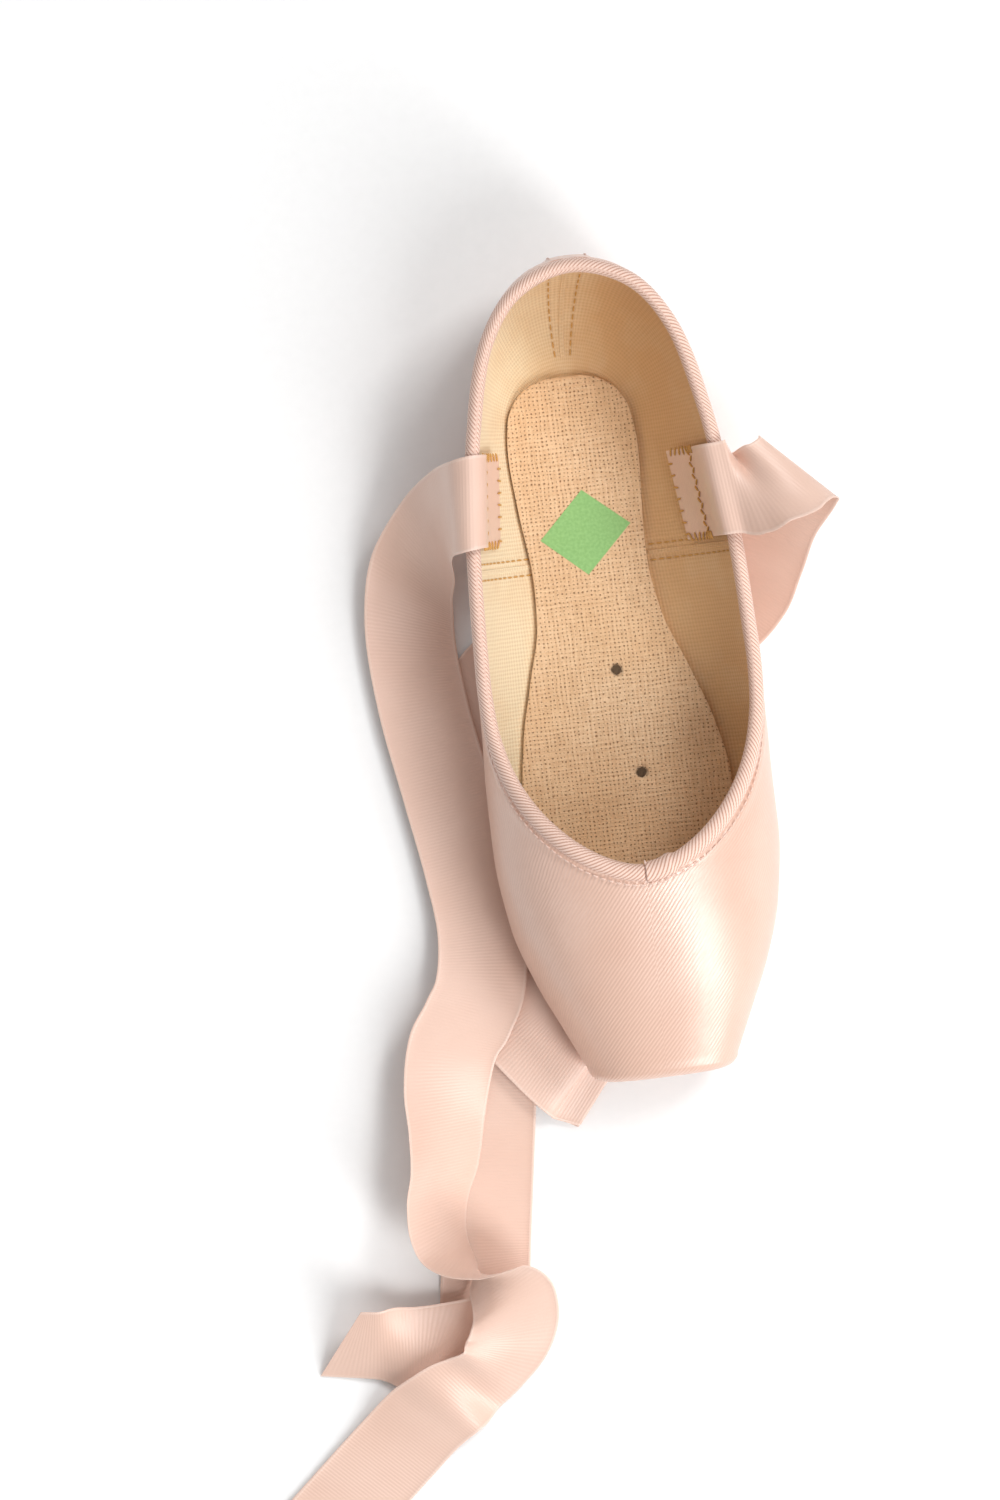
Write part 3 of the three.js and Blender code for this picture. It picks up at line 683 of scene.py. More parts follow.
# a point of the last's surface, or of the same surface moved inwards, at a distance s and an angle
# from the bottom (-90) through the widest line (0) to the top (90). core is 1 on the underside's
# edge and 0 on its middle line.
def lastPoint(s, angle, side, inset=0.0, core=1.0):
    s, angle, core = np.broadcast_arrays(*(np.asarray(part, float) for part in (s, angle, core)))
    page = pageOf(s)
    reach = np.where(s < heelAxis, np.hypot(outlineHalf(s), heelAxis - s), last["half"](s))
    widest, bottom, top = last["side"](s), last["bottom"](s), last["top"](s)
    below = angle < 0
    size = np.where(below, widest - bottom - inset, top - widest - inset)
    power = 2 / np.where(below, last["low"](s), last["up"](s))
    flat = np.where(below, last["flat"](s), 0)
    out = flat * core + (reach - inset - flat) * np.clip(np.cos(angle), 0, 1) ** power
    z = widest + np.sign(angle) * size * np.abs(np.sin(angle)) ** power
    depth = np.clip((widest - z) / (widest - bottom), 0, 1)
    x = side * out * np.sin(page) + last["skew"](s) * depth**1.5
    y = shoeForm["length"] / 2 - np.where(s < heelAxis, heelAxis - out * np.cos(page), s)
    return np.stack([x, y, z], -1)


def outwardAt(s, angle, side):
    return unit(lastPoint(s, angle, side) - lastPoint(s, angle, side, 1.0))


# the height of the underside at a point of the plan
def undersideZ(x, s, inset=0.0):
    x, s = np.broadcast_arrays(np.asarray(x, float), np.asarray(s, float))
    lean = last["skew"](s)
    backwards = np.maximum(heelAxis - s, 1e-6)
    stations = np.linspace(0, heelAxis, 800)
    pages = pageOf(stations)
    for settling in range(4):  # the lean and the height depend on each other
        across = np.abs(x - lean)
        row = np.where(s < heelAxis, np.interp(np.arctan2(across, backwards), pages, stations), s)
        reach = np.where(s < heelAxis, np.hypot(outlineHalf(row), heelAxis - row), last["half"](s))
        out = np.where(s < heelAxis, np.hypot(across, backwards), across)
        low, flat = last["low"](row), last["flat"](row)
        share = np.clip((out - flat) / (reach - inset - flat), 0, 1)
        widest, bottom = last["side"](row), last["bottom"](row)
        z = widest - (widest - bottom - inset) * (1 - share**low) ** (1 / low)
        lean = last["skew"](row) * np.clip((widest - z) / (widest - bottom), 0, 1) ** 1.5
    return z


# the middle of the wall's cut edge, from the back of the heel round to the throat on one side
def collarHalf(side, count):
    s = np.array([row[0] for row in collarRows], float)
    rise = np.radians([row[1] for row in collarRows])
    right = lastPoint(s, rise, side, wall / 2)
    left = lastPoint(s, rise, -side, wall / 2)
    outward = outwardAt(s, rise, side)
    other = outwardAt(s, rise, -side)
    middle = smoothPath(np.vstack([left[1:3][::-1], right, left[-3:-1][::-1]]), (len(s) + 3) * 40)
    facing = smoothPath(np.vstack([other[1:3][::-1], outward, other[-3:-1][::-1]]), (len(s) + 3) * 40)
    middle, facing = middle[80:-80], unit(facing[80:-80])
    travel = travelAlong(middle)
    even = np.linspace(0, travel[-1], count)
    return readAlong(middle, travel, even), unit(readAlong(facing, travel, even))


# the same line as distances and angles, to end the upper's surfaces on it
def collarPlaces(count):
    x, y, z = collarHalf(1, count)[0].T
    behind = y - (shoeForm["length"] / 2 - heelAxis)
    stations = np.linspace(0, heelAxis, 2000)
    page = np.arctan2(np.abs(x), np.maximum(behind, 1e-6))
    s = np.where(behind > 0, np.interp(page, pageOf(stations), stations), shoeForm["length"] / 2 - y)
    out = np.where(behind > 0, np.hypot(x, behind), np.abs(x))
    reach = np.where(behind > 0, np.hypot(outlineHalf(s), heelAxis - s), last["half"](s)) - wall / 2
    size = last["top"](s) - last["side"](s) - wall / 2
    power = last["up"](s) / 2
    high = np.clip((z - last["side"](s)) / size, 0, 1) ** power
    low = np.clip(out / reach, 0, 1) ** power
    return s, np.arctan2(high, low)


# upper: satin outside, cotton lining inside, both pulled over the last and turned under the sole

upperBuild = {
    "collarColumns": 120,
    "vampColumns": 44,
    "rows": 86,
    "underRows": 5,
    "satinDepth": 0.9,
    "pleatDepth": 0.9,
    "pleatsEachSide": 5,
    "plainMiddle": 14,  # degrees each side of the middle with no pleat
    "pleatSpread": 15,  # degrees from one pleat to the next
    "pleatCentre": 176,  # s of the point from which they fan out
    "pleatCrest": 0.72,  # share of a pleat before its crest
    "rimSwell": 0.35,
    "swellAt": 5.5,  # from the wall's edge
    "swellWide": 1.8,
    "heldAt": 3.2,  # where the stitches hold it
    "heldWide": 0.7,
    "wave": 0.16,
    "platformRings": 8,
}


# columns run from the heel's middle line to the toe, and rows from under the foot up to the collar
def upperGrid(side, inset):
    places, rises = collarPlaces(upperBuild["collarColumns"])
    ahead = np.linspace(shoeForm["throat"], shoeForm["platformStart"], upperBuild["vampColumns"])[1:]
    s = np.concatenate([places, ahead])
    top = np.concatenate([rises, np.full(len(ahead), math.pi / 2)])
    core = np.linspace(0, 1, upperBuild["underRows"] + 1)[:-1]
    climb = np.linspace(0, 1, upperBuild["rows"])
    angles = -math.pi / 2 + (top[:, None] + math.pi / 2) * climb[None, :]
    angles = np.minimum(angles, math.pi / 2)
    under = lastPoint(s[:, None], np.full((len(s), len(core)), -math.pi / 2), side, inset, core[None, :])
    grid = np.concatenate([under, lastPoint(s[:, None], angles, side, inset)], 1)
    front = grid[-1]
    slope = math.radians(shoeForm["platformSlope"])
    face = shoeForm["length"] - (inset if inset == 0 else inset + 1.0)
    widest = last["side"](shoeForm["platformStart"])
    centre = np.array([0, shoeForm["length"] / 2 - shoeForm["platformStart"], widest])
    spokes = front - centre
    lengths = np.linalg.norm(spokes, axis=1, keepdims=True)
    rings = []
    ringCount = upperBuild["platformRings"]
    reach = face - shoeForm["platformStart"]
    for turn in np.radians(np.linspace(shoeForm["platformSlope"], 90, ringCount + 1)[1:]):
        shrink = shoeForm["platformRound"] * (math.cos(slope) - math.cos(turn))
        forward = reach * (math.sin(turn) - math.sin(slope)) / (1 - math.sin(slope))
        ring = centre + spokes / lengths * (lengths - shrink)
        ring[:, 1] -= forward
        rings.append(ring)
    hub = centre - np.array([0, reach, 0])
    edge = rings[-1]
    for share in np.linspace(1, 0, ringCount + 1)[1:]:
        rings.append(hub + (edge - hub) * share)
    return np.concatenate([grid, np.array(rings)], 0)


def smoothStep(value, low, high):
    t = np.clip((value - low) / (high - low), 0, 1)
    return t * t * (3 - 2 * t)


# folds that gather the satin under the toe, fanned out from the front of the sole
def pleatHeight(points):
    x, y, z = points[..., 0], points[..., 1], points[..., 2]
    s = shoeForm["length"] / 2 - y
    fan = np.degrees(np.arctan2(np.abs(x), s - upperBuild["pleatCentre"]))
    count = (fan - upperBuild["plainMiddle"]) / upperBuild["pleatSpread"]
    phase = count - np.floor(count)
    crest = upperBuild["pleatCrest"]
    fall = np.cos((phase - crest) / (1 - crest) * math.pi / 2) ** 1.2
    fold = np.where(phase < crest, (phase / crest) ** 1.6, fall)
    inside = (count > 0) & (count < upperBuild["pleatsEachSide"])
    low = 1 - smoothStep(z, 9.5, 15.5)
    front = smoothStep(s, 186, 200) * (1 - smoothStep(s, 223.5, 224.9))
    return np.where(inside, fold, 0) * low * front * upperBuild["pleatDepth"]


# the satin swells a little beside the tape and dips where the stitches hold it, and its flanks
# wave softly
def satinRelief(grid, side):
    columns, rows = grid.shape[:2]
    count = upperBuild["collarColumns"]
    swell = np.zeros((columns, rows))
    edge = grid[:count, -1:, :]
    away = np.linalg.norm(grid[:count] - edge, axis=2)
    build = upperBuild
    raised = np.exp(-(((away - build["swellAt"]) / build["swellWide"]) ** 2))
    held = np.exp(-(((away - build["heldAt"]) / build["heldWide"]) ** 2))
    swell[:count] = build["rimSwell"] * (raised - held)
    y, z = grid[..., 1], grid[..., 2]
    wave = build["wave"] * np.sin(y / 9.0 + z / 14.0 + side) * np.sin(z / 11.0 + y / 31.0)
    flank = smoothStep(z, 8, 16) * (1 - smoothStep(z, 34, 44)) * (1 - smoothStep(-y, 60, 90))
    return swell + wave * flank + pleatHeight(grid)


def gridNormals(grid):
    along = np.gradient(grid, axis=0)
    around = np.gradient(grid, axis=1)
    return unit(np.cross(along, around))


def upperShell(name, outer, inner, material):
    points = []
    faces = []
    uv = []
    for side in (1, -1):
        skin = upperGrid(side, outer)
        if outer == 0:
            facing = gridNormals(skin)
            facing *= np.sign(np.sum(facing * (skin - np.array([0, 0, 20])), axis=2, keepdims=True))
            lift = satinRelief(skin, side)[..., None]
            settled = np.linalg.norm(skin - skin[:, :1], axis=2, keepdims=True) > 0.5
            skin = skin + facing * lift * settled
        back = upperGrid(side, inner)
        columns, rows = skin.shape[:2]
        travel = travelAlong(skin[:, rows // 2])
        climb = np.cumsum(np.linalg.norm(np.diff(skin, axis=1, prepend=skin[:, :1]), axis=2), axis=1)
        girth = climb[np.maximum(np.arange(columns), upperBuild["collarColumns"]), -1:]
        climb = climb - girth  # counted from the top of the foot, so both sides' cloth meets there
        for layer in (skin, back):
            start = len(points)
            points.extend(layer.reshape(-1, 3))
            uv.extend(np.stack([climb * side, np.repeat(travel[:, None], rows, 1)], -1).reshape(-1, 2))
            faces.extend(gridFaces(columns, rows, start=start))
        size = columns * rows
        first = len(points) - 2 * size
        for i in range(upperBuild["collarColumns"] - 1):
            here = first + i * rows + rows - 1
            beyond = here + rows
            faces.append((here, beyond, beyond + size, here + size))
    return makePiece(name, points, faces, uv, material)


upperSatin = upperShell("upperSatin", 0.0, upperBuild["satinDepth"], satin)
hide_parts("upper")
upperShell("upperLining", upperBuild["satinDepth"] + 0.1, wall, cottonLining)
print("upper pulled over the last")


# binding: a twilled tape rolled over the collar's edge, its ends lapped at the throat

bindingBuild = {
    "width": 4.8,
    "depth": 4.0,
    "ribPitch": 1.2,  # drawn coarser than the real 0.7 to show
    "ribDepth": 0.24,
    "ribSlant": 11,  # ribs crossed in one turn round the tape
    "samplesEachRib": 7,
    "around": 22,
    "lapLength": 8.5,
    "lapRise": 0.55,
    "lapLean": 1.6,  # the lap's edge runs a little across the tape
    "bumpRise": 1.25,
    "bumpBack": 1.6,  # from the lap's end
    "bumpWide": 1.7,
    "creaseDepth": 0.5,
    "creaseWide": 0.45,
    "girth": 2.2,  # radius that the tape's width is counted on
}


def collarLoop(count):
    right, rightFacing = collarHalf(1, count)
    left, leftFacing = collarHalf(-1, count)
    middle = np.vstack([right[::-1], left[1:-1]])
    facing = np.vstack([rightFacing[::-1], leftFacing[1:-1]])
    return middle, facing


def makeBinding():
    build = bindingBuild
    rough, roughFacing = collarLoop(400)
    closed = np.vstack([rough, rough[:1]])
    travel = travelAlong(closed)
    ribs = round(travel[-1] / build["ribPitch"])
    count = ribs * build["samplesEachRib"]
    even = travel[-1] * np.arange(count) / count
    ring = np.vstack([roughFacing, roughFacing[:1]])
    middle = readAlong(closed, travel, even)
    facing = unit(readAlong(ring, travel, even))
    along = unit(np.roll(middle, -3, 0) - np.roll(middle, 3, 0))
    up = unit(np.cross(facing, along))
    up *= np.sign(up[:, 2:3] + 1e-9)
    turn = 2 * math.pi * np.arange(build["around"]) / build["around"]
    phase = ribs * even[:, None] / travel[-1] + build["ribSlant"] * turn[None, :] / (2 * math.pi)
    rib = np.abs(np.cos(math.pi * phase)) ** 0.7
    # the right-hand end lies over the left-hand one, puckered where it is tucked in
    gap = even[:, None] + build["lapLean"] * np.sin(turn)[None, :]
    lapEnd = build["lapLength"]
    lap = smoothStep(gap, 0.0, 0.5) * (1 - smoothStep(gap, lapEnd - 1, lapEnd + 0.6))
    inward = np.clip(-np.sin(turn), 0, 1)[None, :]
    bump = np.exp(-(((even[:, None] - lapEnd + build["bumpBack"]) / build["bumpWide"]) ** 2)) * inward
    backward = travel[-1] - even[:, None]
    crease = np.exp(-((np.minimum(np.abs(gap), np.abs(backward)) / build["creaseWide"]) ** 2))
    raised = build["lapRise"] * lap + build["bumpRise"] * bump
    swell = raised - build["creaseDepth"] * crease - build["ribDepth"] * (1 - rib)
    tall = build["width"] / 2 + swell
    deep = build["depth"] / 2 + swell
    points = (
        middle[:, None, :]
        + up[:, None, :] * (tall * np.cos(turn))[..., None]
        + facing[:, None, :] * (deep * np.sin(turn))[..., None]
    )
    uv = np.stack([phase, np.broadcast_to(turn[None, :] * build["girth"], phase.shape)], -1)
    faces = gridFaces(count, build["around"], closeRows=True, closeColumns=True)
    points, uv = points.reshape(-1, 3), uv.reshape(-1, 2)
    tape = makePiece("bindingTape", points, faces, uv, twillTape, 80)
    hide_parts("binding")


makeBinding()
print("binding rolled on")


# stitches: many small spindles in one mesh, half sunk in the cloth

# place along the stitch, and its fullness there
stitchShape = [(-0.5, 0.15), (-0.42, 0.7), (-0.2, 1.0), (0.2, 1.0), (0.42, 0.7), (0.5, 0.15)]


def stitchPiece(name, centres, alongs, normals, look, material):
    length, width, height = look["length"], look["width"], look["height"]
    sides = 8
    points = []
    faces = []
    uv = []
    beside = unit(np.cross(alongs, normals))
    for centre, along, normal, across in zip(centres, alongs, normals, beside):
        start = len(points)
        for place, full in stitchShape:
            arch = 0.25 * height * (1 - (2 * place) ** 2)
            for k in range(sides):
                turn = 2 * math.pi * k / sides
                wide = width / 2 * full * math.cos(turn)
                tall = height / 2 * full * math.sin(turn) + arch
                points.append(centre + along * (length * place) + (across * wide + normal * tall))
                uv.append((width * math.pi * k / sides, length * place))
        faces.extend(tubeFaces(len(stitchShape), sides, start))
    makePiece(name, points, faces, uv, material)


# evenly spaced places along a path, with the path's direction there
def spacedAlong(path, facing, pitch):
    travel = travelAlong(path)
    stops = np.arange(pitch / 2, travel[-1], pitch)
    ahead = readAlong(path, travel, stops + pitch / 4)
    behind = readAlong(path, travel, stops - pitch / 4)
    return readAlong(path, travel, stops), unit(ahead - behind), unit(readAlong(facing, travel, stops))


def stitchRow(name, path, facing, look, material):
    centres, alongs, normals = spacedAlong(path, facing, look["length"] + look["gap"])
    normals = unit(normals - alongs * np.sum(normals * alongs, axis=1, keepdims=True))
    lifted = centres + normals * look["lift"]
    stitchPiece(name, lifted, alongs, normals, look, material)


# the line of stitches just below the tape, on the satin
vampStitch = {
    "length": 1.7,
    "gap": 0.5,
    "width": 0.5,
    "height": 0.4,
    "lift": 0.1,
    "belowTape": 3.3,
    "places": 500,
}


def collarStitches(side, tag):
    middle, facing = collarHalf(side, vampStitch["places"])
    along = unit(np.gradient(middle, axis=0))
    up = unit(np.cross(facing, along))
    up *= np.sign(up[:, 2:3] + 1e-9)
    places, rises = collarPlaces(vampStitch["places"])
    little = 0.01
    lower = lastPoint(places, rises, side) - lastPoint(places, rises - little, side)
    drop = vampStitch["belowTape"] / np.maximum(np.linalg.norm(lower, axis=1) / little, 1e-3)
    down = lastPoint(places, rises - np.minimum(drop, 0.5), side)
    toward = middle - up * vampStitch["belowTape"] + facing * wall / 2
    nearThroat = smoothStep(places, 120, 150)[:, None]
    path = down * (1 - nearThroat) + toward * nearThroat
    stitchRow("vampStitches" + tag, path, facing, vampStitch, pinkThread)


for side, tag in ((1, "Right"), (-1, "Left")):
    collarStitches(side, tag)


# insole: burlap-faced board, with two pegs' holes down its middle

plateGap = {"fit": 0.3, "seat": 0.5}
insoleBuild = {
    "thickness": 2.2,
    "stations": 260,
    "across": 90,
    "holes": [(0.8, -0.6), (4.4, -29.7)],  # x and y of each middle
    "holeRadius": 1.25,
    "holeDepth": 1.7,
    "holeSoft": 0.35,  # half the width of the hole's torn rim
    "dimpleDepth": 0.15,
    "dimpleWide": 1.2,
    "edgeDrop": 0.6,
    "edgeWide": 0.5,
}
# s and half width
insoleRows = [
    (31, 5), (32.4, 9.6), (36, 14.2), (42, 17), (52, 18), (66, 17.2), (84, 16), (98, 17.2), (114, 22),
    (130, 26.6), (146, 29), (162, 28.6), (176, 25.4), (187, 20.4), (195, 14), (199, 8), (200.4, 3.5),
]
outsoleBuild = {
    "thickness": 2.5,
    "stations": 240,
    "across": 70,
    "rounding": 0.9,
    "roundingWide": 1.1,
    "lineGap": 3.4,
    "lineDepth": 0.45,
    "lineSwing": 1.6,
    "lineWave": 4.2,
    "linesFrom": (126, 132),  # s over which the scored lines come in, and over which they fade
    "linesTo": (182, 188),
    "plainEdge": (2.5, 4.5),
    "least": 0.3,  # thickness
    "steep": 0.6,  # faces steeper than this show the cut edge
}
outsoleRows = [
    (30.6, 4), (31.8, 8), (35, 11.8), (40, 14), (47, 14.8), (62, 14.1), (80, 13.3), (97, 14), (112, 17),
    (130, 21.6), (150, 24.8), (165, 24.9), (178, 22.4), (187, 18), (192.5, 12.6), (195.6, 7), (196.7, 3),
]


def plateGrid(rows, stations, across):
    half = smoothCurve([row[0] for row in rows], [row[1] for row in rows])
    first, final = rows[0][0], rows[-1][0]
    s = first + (final - first) * (1 - np.cos(np.linspace(0, math.pi, stations))) / 2
    share = np.sin(np.linspace(-math.pi / 2, math.pi / 2, across))
    x = last["skew"](s)[:, None] + half(s)[:, None] * share[None, :]
    s = np.broadcast_to(s[:, None], x.shape)
    inwards = (1 - np.abs(share))[None, :] * half(s)
    ends = np.minimum(s - first, final - s)
    return x, s, np.minimum(inwards, ends)


def platePiece(name, x, s, top, base, material):
    y = shoeForm["length"] / 2 - s
    stations, across = x.shape
    size = stations * across
    points = np.concatenate([np.stack([x, y, z], -1).reshape(-1, 3) for z in (top, base)])
    uv = np.concatenate([np.stack([x, y], -1).reshape(-1, 2)] * 2)
    faces = gridFaces(stations, across) + gridFaces(stations, across, start=size)
    rim = list(range(across))
    rim += [i * across + across - 1 for i in range(1, stations)]
    rim += list(range(size - 2, size - across - 1, -1))
    rim += [i * across for i in range(stations - 2, 0, -1)]
    sides = [(a, b, b + size, a + size) for a, b in zip(rim, rim[1:] + rim[:1])]
    return makePiece(name, points, faces + sides, uv, material, 40)


def makeInsole():
    x, s, inwards = plateGrid(insoleRows, insoleBuild["stations"], insoleBuild["across"])
    y = shoeForm["length"] / 2 - s
    floor = undersideZ(x, s, wall) + plateGap["seat"]
    build = insoleBuild
    top = floor + build["thickness"] - build["edgeDrop"] * np.exp(-inwards / build["edgeWide"])
    radius, soft = build["holeRadius"], build["holeSoft"]
    for holeX, holeY in build["holes"]:
        away = np.hypot(x - holeX, y - holeY)
        top = top - build["holeDepth"] * (1 - smoothStep(away, radius - soft, radius + soft))
        top = top - build["dimpleDepth"] * np.exp(-(((away - radius) / build["dimpleWide"]) ** 2))
    board = platePiece("insoleBoard", x, s, top, floor, burlapBoard)
    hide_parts("insole")


# the height of the insole's face at a point of the plan
def insoleFace(x, y):
    floor = undersideZ(x, shoeForm["length"] / 2 - y, wall) + plateGap["seat"]
    return floor + insoleBuild["thickness"]


# the shaded walls and bottom of each peg's hole
def makePegHoles():
    sides = 20
    points = []
    faces = []
    uv = []
    for holeX, holeY in insoleBuild["holes"]:
        start = len(points)
        top = insoleFace(holeX, holeY)
        for radius, depth in ((1.32, -0.05), (1.2, -0.2), (1.1, -1.0), (0.5, -1.2)):
            for k in range(sides):
                turn = 2 * math.pi * k / sides
                x, y = holeX + radius * math.cos(turn), holeY + radius * math.sin(turn)
                points.append((x, y, top + depth))
                uv.append((radius * turn, depth))
        faces.extend(gridFaces(4, sides, closeColumns=True, start=start))
        faces.append(tuple(range(start + 3 * sides, start + 4 * sides)))
        faces.append(tuple(range(start, start + sides)))
    makePiece("pegHoles", points, faces, uv, shadedHole)


makeInsole()
makePegHoles()


# a plain green paper lozenge stuck on the insole, with nothing on it
paperLozenge = {
    "corners": [(-2.6, 49.9), (9.7, 39.2), (-3.6, 26.4), (-15.6, 37.3)],
    "depth": 0.12,
    "sunk": 0.1,
    "steps": 16,
}


def makePaperLozenge():
    build = paperLozenge
    first, second, third, fourth = (np.array(corner) for corner in build["corners"])
    share = np.linspace(0, 1, build["steps"] + 1)
    u, v = np.meshgrid(share, share, indexing="ij")
    u, v = u[..., None], v[..., None]
    plan = first * (1 - u) * (1 - v) + second * u * (1 - v) + third * u * v + fourth * (1 - u) * v
    x, y = plan[..., 0], plan[..., 1]
    s = shoeForm["length"] / 2 - y
    top, base = insoleFace(x, y) + build["depth"], insoleFace(x, y) - build["sunk"]
    platePiece("paperLozenge", x, s, top, base, greenPaper)


makePaperLozenge()


# outsole: split hide with a rounded edge, scored with waving lines to grip the floor

def makeOutsole():
    build = outsoleBuild
    x, s, inwards = plateGrid(outsoleRows, build["stations"], build["across"])
    rounding = build["rounding"] * np.clip(1 - inwards / build["roundingWide"], 0, 1) ** 2
    top = undersideZ(x, s) - 0.1 - rounding * 0.3
    ground = last["bottom"](s) - build["thickness"] - plateGap["fit"]
    waving = (s + build["lineSwing"] * np.sin(x / build["lineWave"])) / build["lineGap"]
    line = np.abs(waving - np.floor(waving) - 0.5)
    scored = smoothStep(s, *build["linesFrom"]) * (1 - smoothStep(s, *build["linesTo"]))
    scored = scored * smoothStep(inwards, *build["plainEdge"])
    groove = build["lineDepth"] * (1 - smoothStep(line, 0.06, 0.14)) * scored
    base = ground + rounding + groove
    top = np.maximum(top, base + build["least"])
    hide = platePiece("outsoleHide", x, s, top, base, soleLeather)
    hide.data.materials.append(edgeLeather)
    for face in hide.data.polygons:
        if abs(face.normal.z) < build["steep"]:
            face.material_index = 1
    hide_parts("outsole")


makeOutsole()
print("soles cut")


# strips sewn on the satin: the back strip and the side seams' folded edges

# a raised strip that follows the last's surface along a row of places
def surfaceStrip(name, path, facing, look, material):
    width, height, sink = look["width"], look["depth"], look["sunk"]
    along = unit(np.gradient(path, axis=0))
    facing = unit(facing - along * np.sum(facing * along, axis=1, keepdims=True))
    beside = np.cross(along, facing)
    left = [(-1, 0), (-0.97, 0.55), (-0.85, 0.95), (-0.5, 1)]
    right = [(-a, h) for a, h in left[::-1]]
    shape = left + [(0, 1)] + right + [(0.5, -0.2), (-0.5, -0.2)]
    points = []
    uv = []
    travel = travelAlong(path)
    for i in range(len(path)):
        for a, h in shape:
            points.append(path[i] + beside[i] * (a * width / 2) + facing[i] * (h * height - sink))
            uv.append((a * width / 2, travel[i]))
    makePiece(name, points, tubeFaces(len(path), len(shape)), uv, material)


backStrip = {
    "width": 13,
    "depth": 0.55,
    "sunk": 0.4,
    "rows": 60,
    "across": 17,
    "stitchIn": 1.5,
    "starts": -84,  # degrees round the section
    "stitchesStart": -80,
    "belowCollar": 3,
    "stitchesBelowCollar": 8,
}
seamStitch = {"length": 1.9, "gap": 0.7, "width": 0.45, "height": 0.36, "lift": 0.12}


# a point of the heel at an angle round the section and a distance across from its middle
def heelAt(angle, across, inset):
    stations = np.linspace(0, heelAxis, 800)
    s = np.interp(np.abs(across) / heelAxis, pageOf(stations), stations)
    side = np.where(across < 0, -1, 1)
    return lastPoint(s, angle, side, inset)


def makeBackStrip():
    build = backStrip
    collar = collarRows[0][1]
    heights = np.radians(np.linspace(build["starts"], collar - build["belowCollar"], build["rows"]))
    shares = np.linspace(-1, 1, build["across"])
    lift = build["depth"] * (1 - np.abs(shares) ** 8)
    points = []
    uv = []
    half = build["width"] / 2
    for angle in heights:
        outer = heelAt(angle, shares * half, 0.0)
        inner = heelAt(angle, shares * half, build["sunk"])
        facing = unit(outer - heelAt(angle, shares * half, 1.0))
        ring = np.vstack([outer + facing * lift[:, None] + facing * 0.05, inner[::-1]])
        points.extend(ring)
        climb = math.degrees(angle) * 0.5  # about half a millimetre to a degree
        uv.extend([(a * half, climb) for a in np.concatenate([shares, shares[::-1]])])
    makePiece("backStrip", points, tubeFaces(len(heights), 2 * len(shares)), uv, satin)
    for sign, tag in ((1, "Right"), (-1, "Left")):
        ends = build["stitchesStart"], collar - build["stitchesBelowCollar"]
        line = np.radians(np.linspace(*ends, 140))
        across = np.full(len(line), sign * (build["width"] / 2 - build["stitchIn"]))
        path = heelAt(line, across, 0.0)
        facing = unit(path - heelAt(line, across, 1.0))
        path = path + facing * build["depth"]
        stitchRow("backStripStitches" + tag, path, facing, seamStitch, pinkThread)


makeBackStrip()

sideSeam = {"s": 82, "width": 1.5, "depth": 0.35, "sunk": 0.1, "rowApart": 3.4}


def makeSideSeams():
    for side, tag in ((1, "Right"), (-1, "Left")):
        top = math.radians(0.5)
        angles = np.linspace(math.radians(-72), top, 90)
        s = np.full(len(angles), float(sideSeam["s"]))
        path = lastPoint(s, angles, side)
        facing = outwardAt(s, angles, side)
        surfaceStrip("sideSeam" + tag, path, facing, sideSeam, satin)
        for offset, row in ((-1, "Back"), (1, "Front")):
            beside = s + offset * sideSeam["rowApart"] / 2
            line, facing = lastPoint(beside, angles, side), outwardAt(beside, angles, side)
            stitchRow("sideStitches" + tag + row, line, facing, seamStitch, pinkThread)


makeSideSeams()


# inside: the lining's seams at the back and sides, with their rows of gold stitches

liningSeam = {
    "back": {"width": 1.3, "depth": 0.3, "sunk": 0.05},
    "side": {"width": 1.2, "depth": 0.3, "sunk": 0.05},
    "backRows": 4.75,  # from the seam to each row of stitches
    "sideRows": 2.2,
    "clear": 0.02,
}


def makeLiningSeams():
    angles = np.linspace(math.radians(-80), math.radians(collarRows[0][1] - 6), 90)
    inside = wall + liningSeam["clear"]
    path = heelAt(angles, np.zeros(len(angles)), inside)
    facing = unit(heelAt(angles, np.zeros(len(angles)), inside + 1) - path)
    surfaceStrip("liningBackSeam", path, facing, liningSeam["back"], cottonLining)
    for offset in (-liningSeam["backRows"], liningSeam["backRows"]):
        across = np.full(len(angles), float(offset))
        line = heelAt(angles, across, inside)
        inward = unit(heelAt(angles, across, inside + 1) - line)
        tag = "Left" if offset < 0 else "Right"
        stitchRow("liningBackStitches" + tag, line, inward, seamStitch, goldThread)
    for side, tag in ((1, "Right"), (-1, "Left")):
        angles = np.linspace(math.radians(-80), math.radians(-2), 90)
        apart = liningSeam["sideRows"]
        for offset, row in ((0, ""), (-apart, "Back"), (apart, "Front")):
            s = np.full(len(angles), sideSeam["s"] + float(offset))
            line = lastPoint(s, angles, side, inside)
            inward = unit(lastPoint(s, angles, side, inside + 1) - line)
            if row:
                name = "liningSideStitches" + tag + row
                stitchRow(name, line, inward, seamStitch, goldThread)
            else:
                name = "liningSideSeam" + tag
                surfaceStrip(name, line, inward, liningSeam["side"], cottonLining)


makeLiningSeams()


# the ribbons' sewn ends: gold whip stitches round three sides of each patch

patchStitch = {
    "length": 2.6,
    "width": 0.6,
    "height": 0.6,
    "pitch": 3.3,
    "lift": 0.3,
    "lowerRow": 0.6,  # reaches up the ribbon from its sewn end
    "zigzag": (13.5, 11.8),
    "sides": (2.4, 18, 2.1),  # from, to, step
}


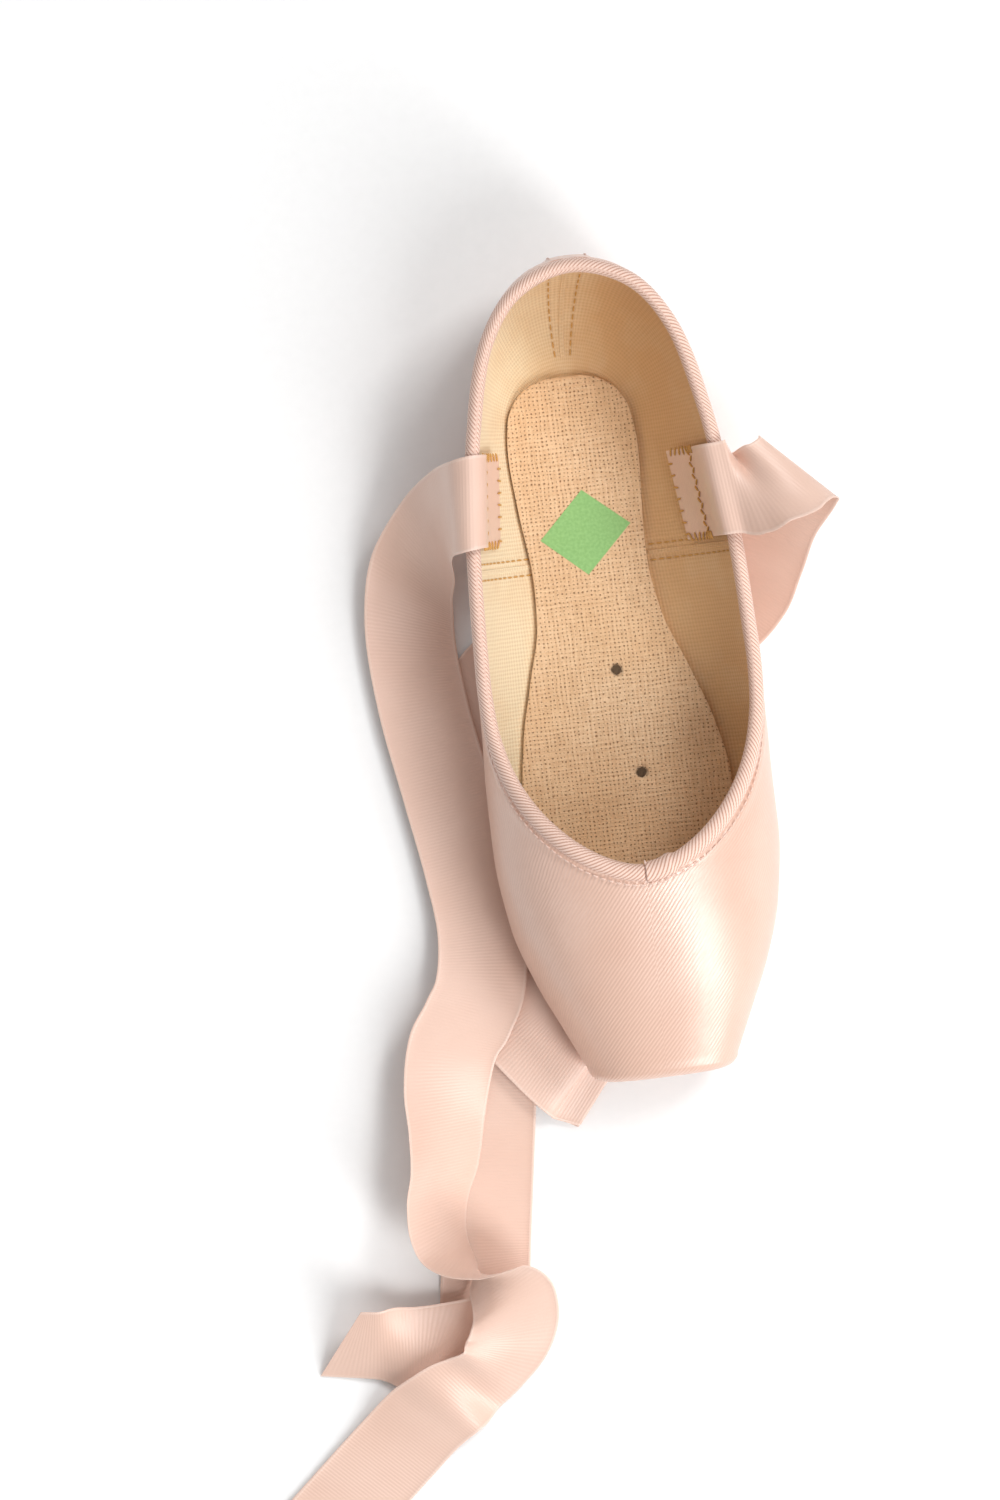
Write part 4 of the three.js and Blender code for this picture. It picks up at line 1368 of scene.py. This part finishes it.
def makePatchStitches(name, route):
    rows = np.array(route, float)[:5]
    middle = smoothPath(rows[:, :3] / mm, 80)
    travel = travelAlong(middle)
    turn = np.radians(rows[:, 3].mean())
    across = np.array([math.cos(turn), math.sin(turn), 0.0])
    climb = unit(np.gradient(middle, axis=0))
    half = ribbonCut["width"] / 2 - 0.5
    look = patchStitch
    centres = []
    leans = []
    facings = []

    def sew(reach, place, lean):
        at = readAlong(middle, travel, reach)
        rising = unit(readAlong(climb, travel, reach))
        facing = unit(np.cross(rising, across))
        facing *= -np.sign(facing[0]) * np.sign(middle[0, 0])
        centres.append(at + across * place + facing * look["lift"])
        leans.append(unit(rising * lean[0] + across * lean[1]))
        facings.append(facing)

    for place in np.arange(-half + 1, half, look["pitch"]):
        sew(look["lowerRow"], place, (1.0, 0.12 * math.sin(5 * place)))
    for place in np.arange(-half + 1.6, half, look["pitch"]):
        sew(look["zigzag"][0], place, (0.8, 0.6))
        sew(look["zigzag"][1], place + look["pitch"] / 2, (0.8, -0.6))
    for step, reach in enumerate(np.arange(*look["sides"])):
        for edge in (-1, 1):
            sew(reach, edge * half, (0.55 * math.sin(7.0 * step + edge), 1.0))
    centres, leans, facings = np.array(centres), np.array(leans), np.array(facings)
    stitchPiece(name, centres, leans, facings, look, goldThread)


makePatchStitches("patchStitchesRight", ribbonRightRoute)
makePatchStitches("patchStitchesLeft", ribbonLeftRoute)
print("seams and stitches sewn")


# studio: a pale paper sweep under soft light

studioAir = {"sweepSize": 8, "sweepBelow": 0.0002, "strength": 0.32}  # metres, and the world's light
studioLights = [
    # name, place, aimed at, width, height, power
    ("key", (0.65, 0.55, 1.1), (0.0, -0.02, 0.02), 0.45, 0.45, 8),
    ("overhead", (0.1, 0.55, 1.5), (0.0, 0.0, 0.0), 0.8, 0.8, 3),
    ("toePanel", (0.56, -0.78, 0.78), (0.0, -0.06, 0.04), 0.34, 1.3, 12.5),
    ("leftStrip", (-1.0, -0.4, 0.5), (0.0, -0.04, 0.02), 0.25, 0.7, 1.3),
]


def makeStudio():
    bpy.ops.mesh.primitive_grid_add(
        x_subdivisions=8,
        y_subdivisions=8,
        size=studioAir["sweepSize"],
        location=(0, 0, -studioAir["sweepBelow"]),
    )
    sweep = bpy.context.object
    sweep.name = "paperSweep"
    sweep.data.materials.append(sweepMaterial())
    for name, place, aim, width, height, power in studioLights:
        data = bpy.data.lights.new(name, "AREA")
        data.shape = "RECTANGLE"
        data.size = width
        data.size_y = height
        data.energy = power
        light = bpy.data.objects.new(name, data)
        light.location = place
        light.rotation_euler = (Vector(aim) - Vector(place)).to_track_quat("-Z", "Y").to_euler()
        bpy.context.collection.objects.link(light)
    world = bpy.data.worlds.new("studioAir")
    world.use_nodes = True
    air = world.node_tree.nodes["Background"]
    air.inputs["Color"].default_value = (1, 1, 1, 1)
    air.inputs["Strength"].default_value = studioAir["strength"]
    bpy.context.scene.world = world
    bpy.context.scene.view_settings.view_transform = "Standard"


makeStudio()

print("scene built")
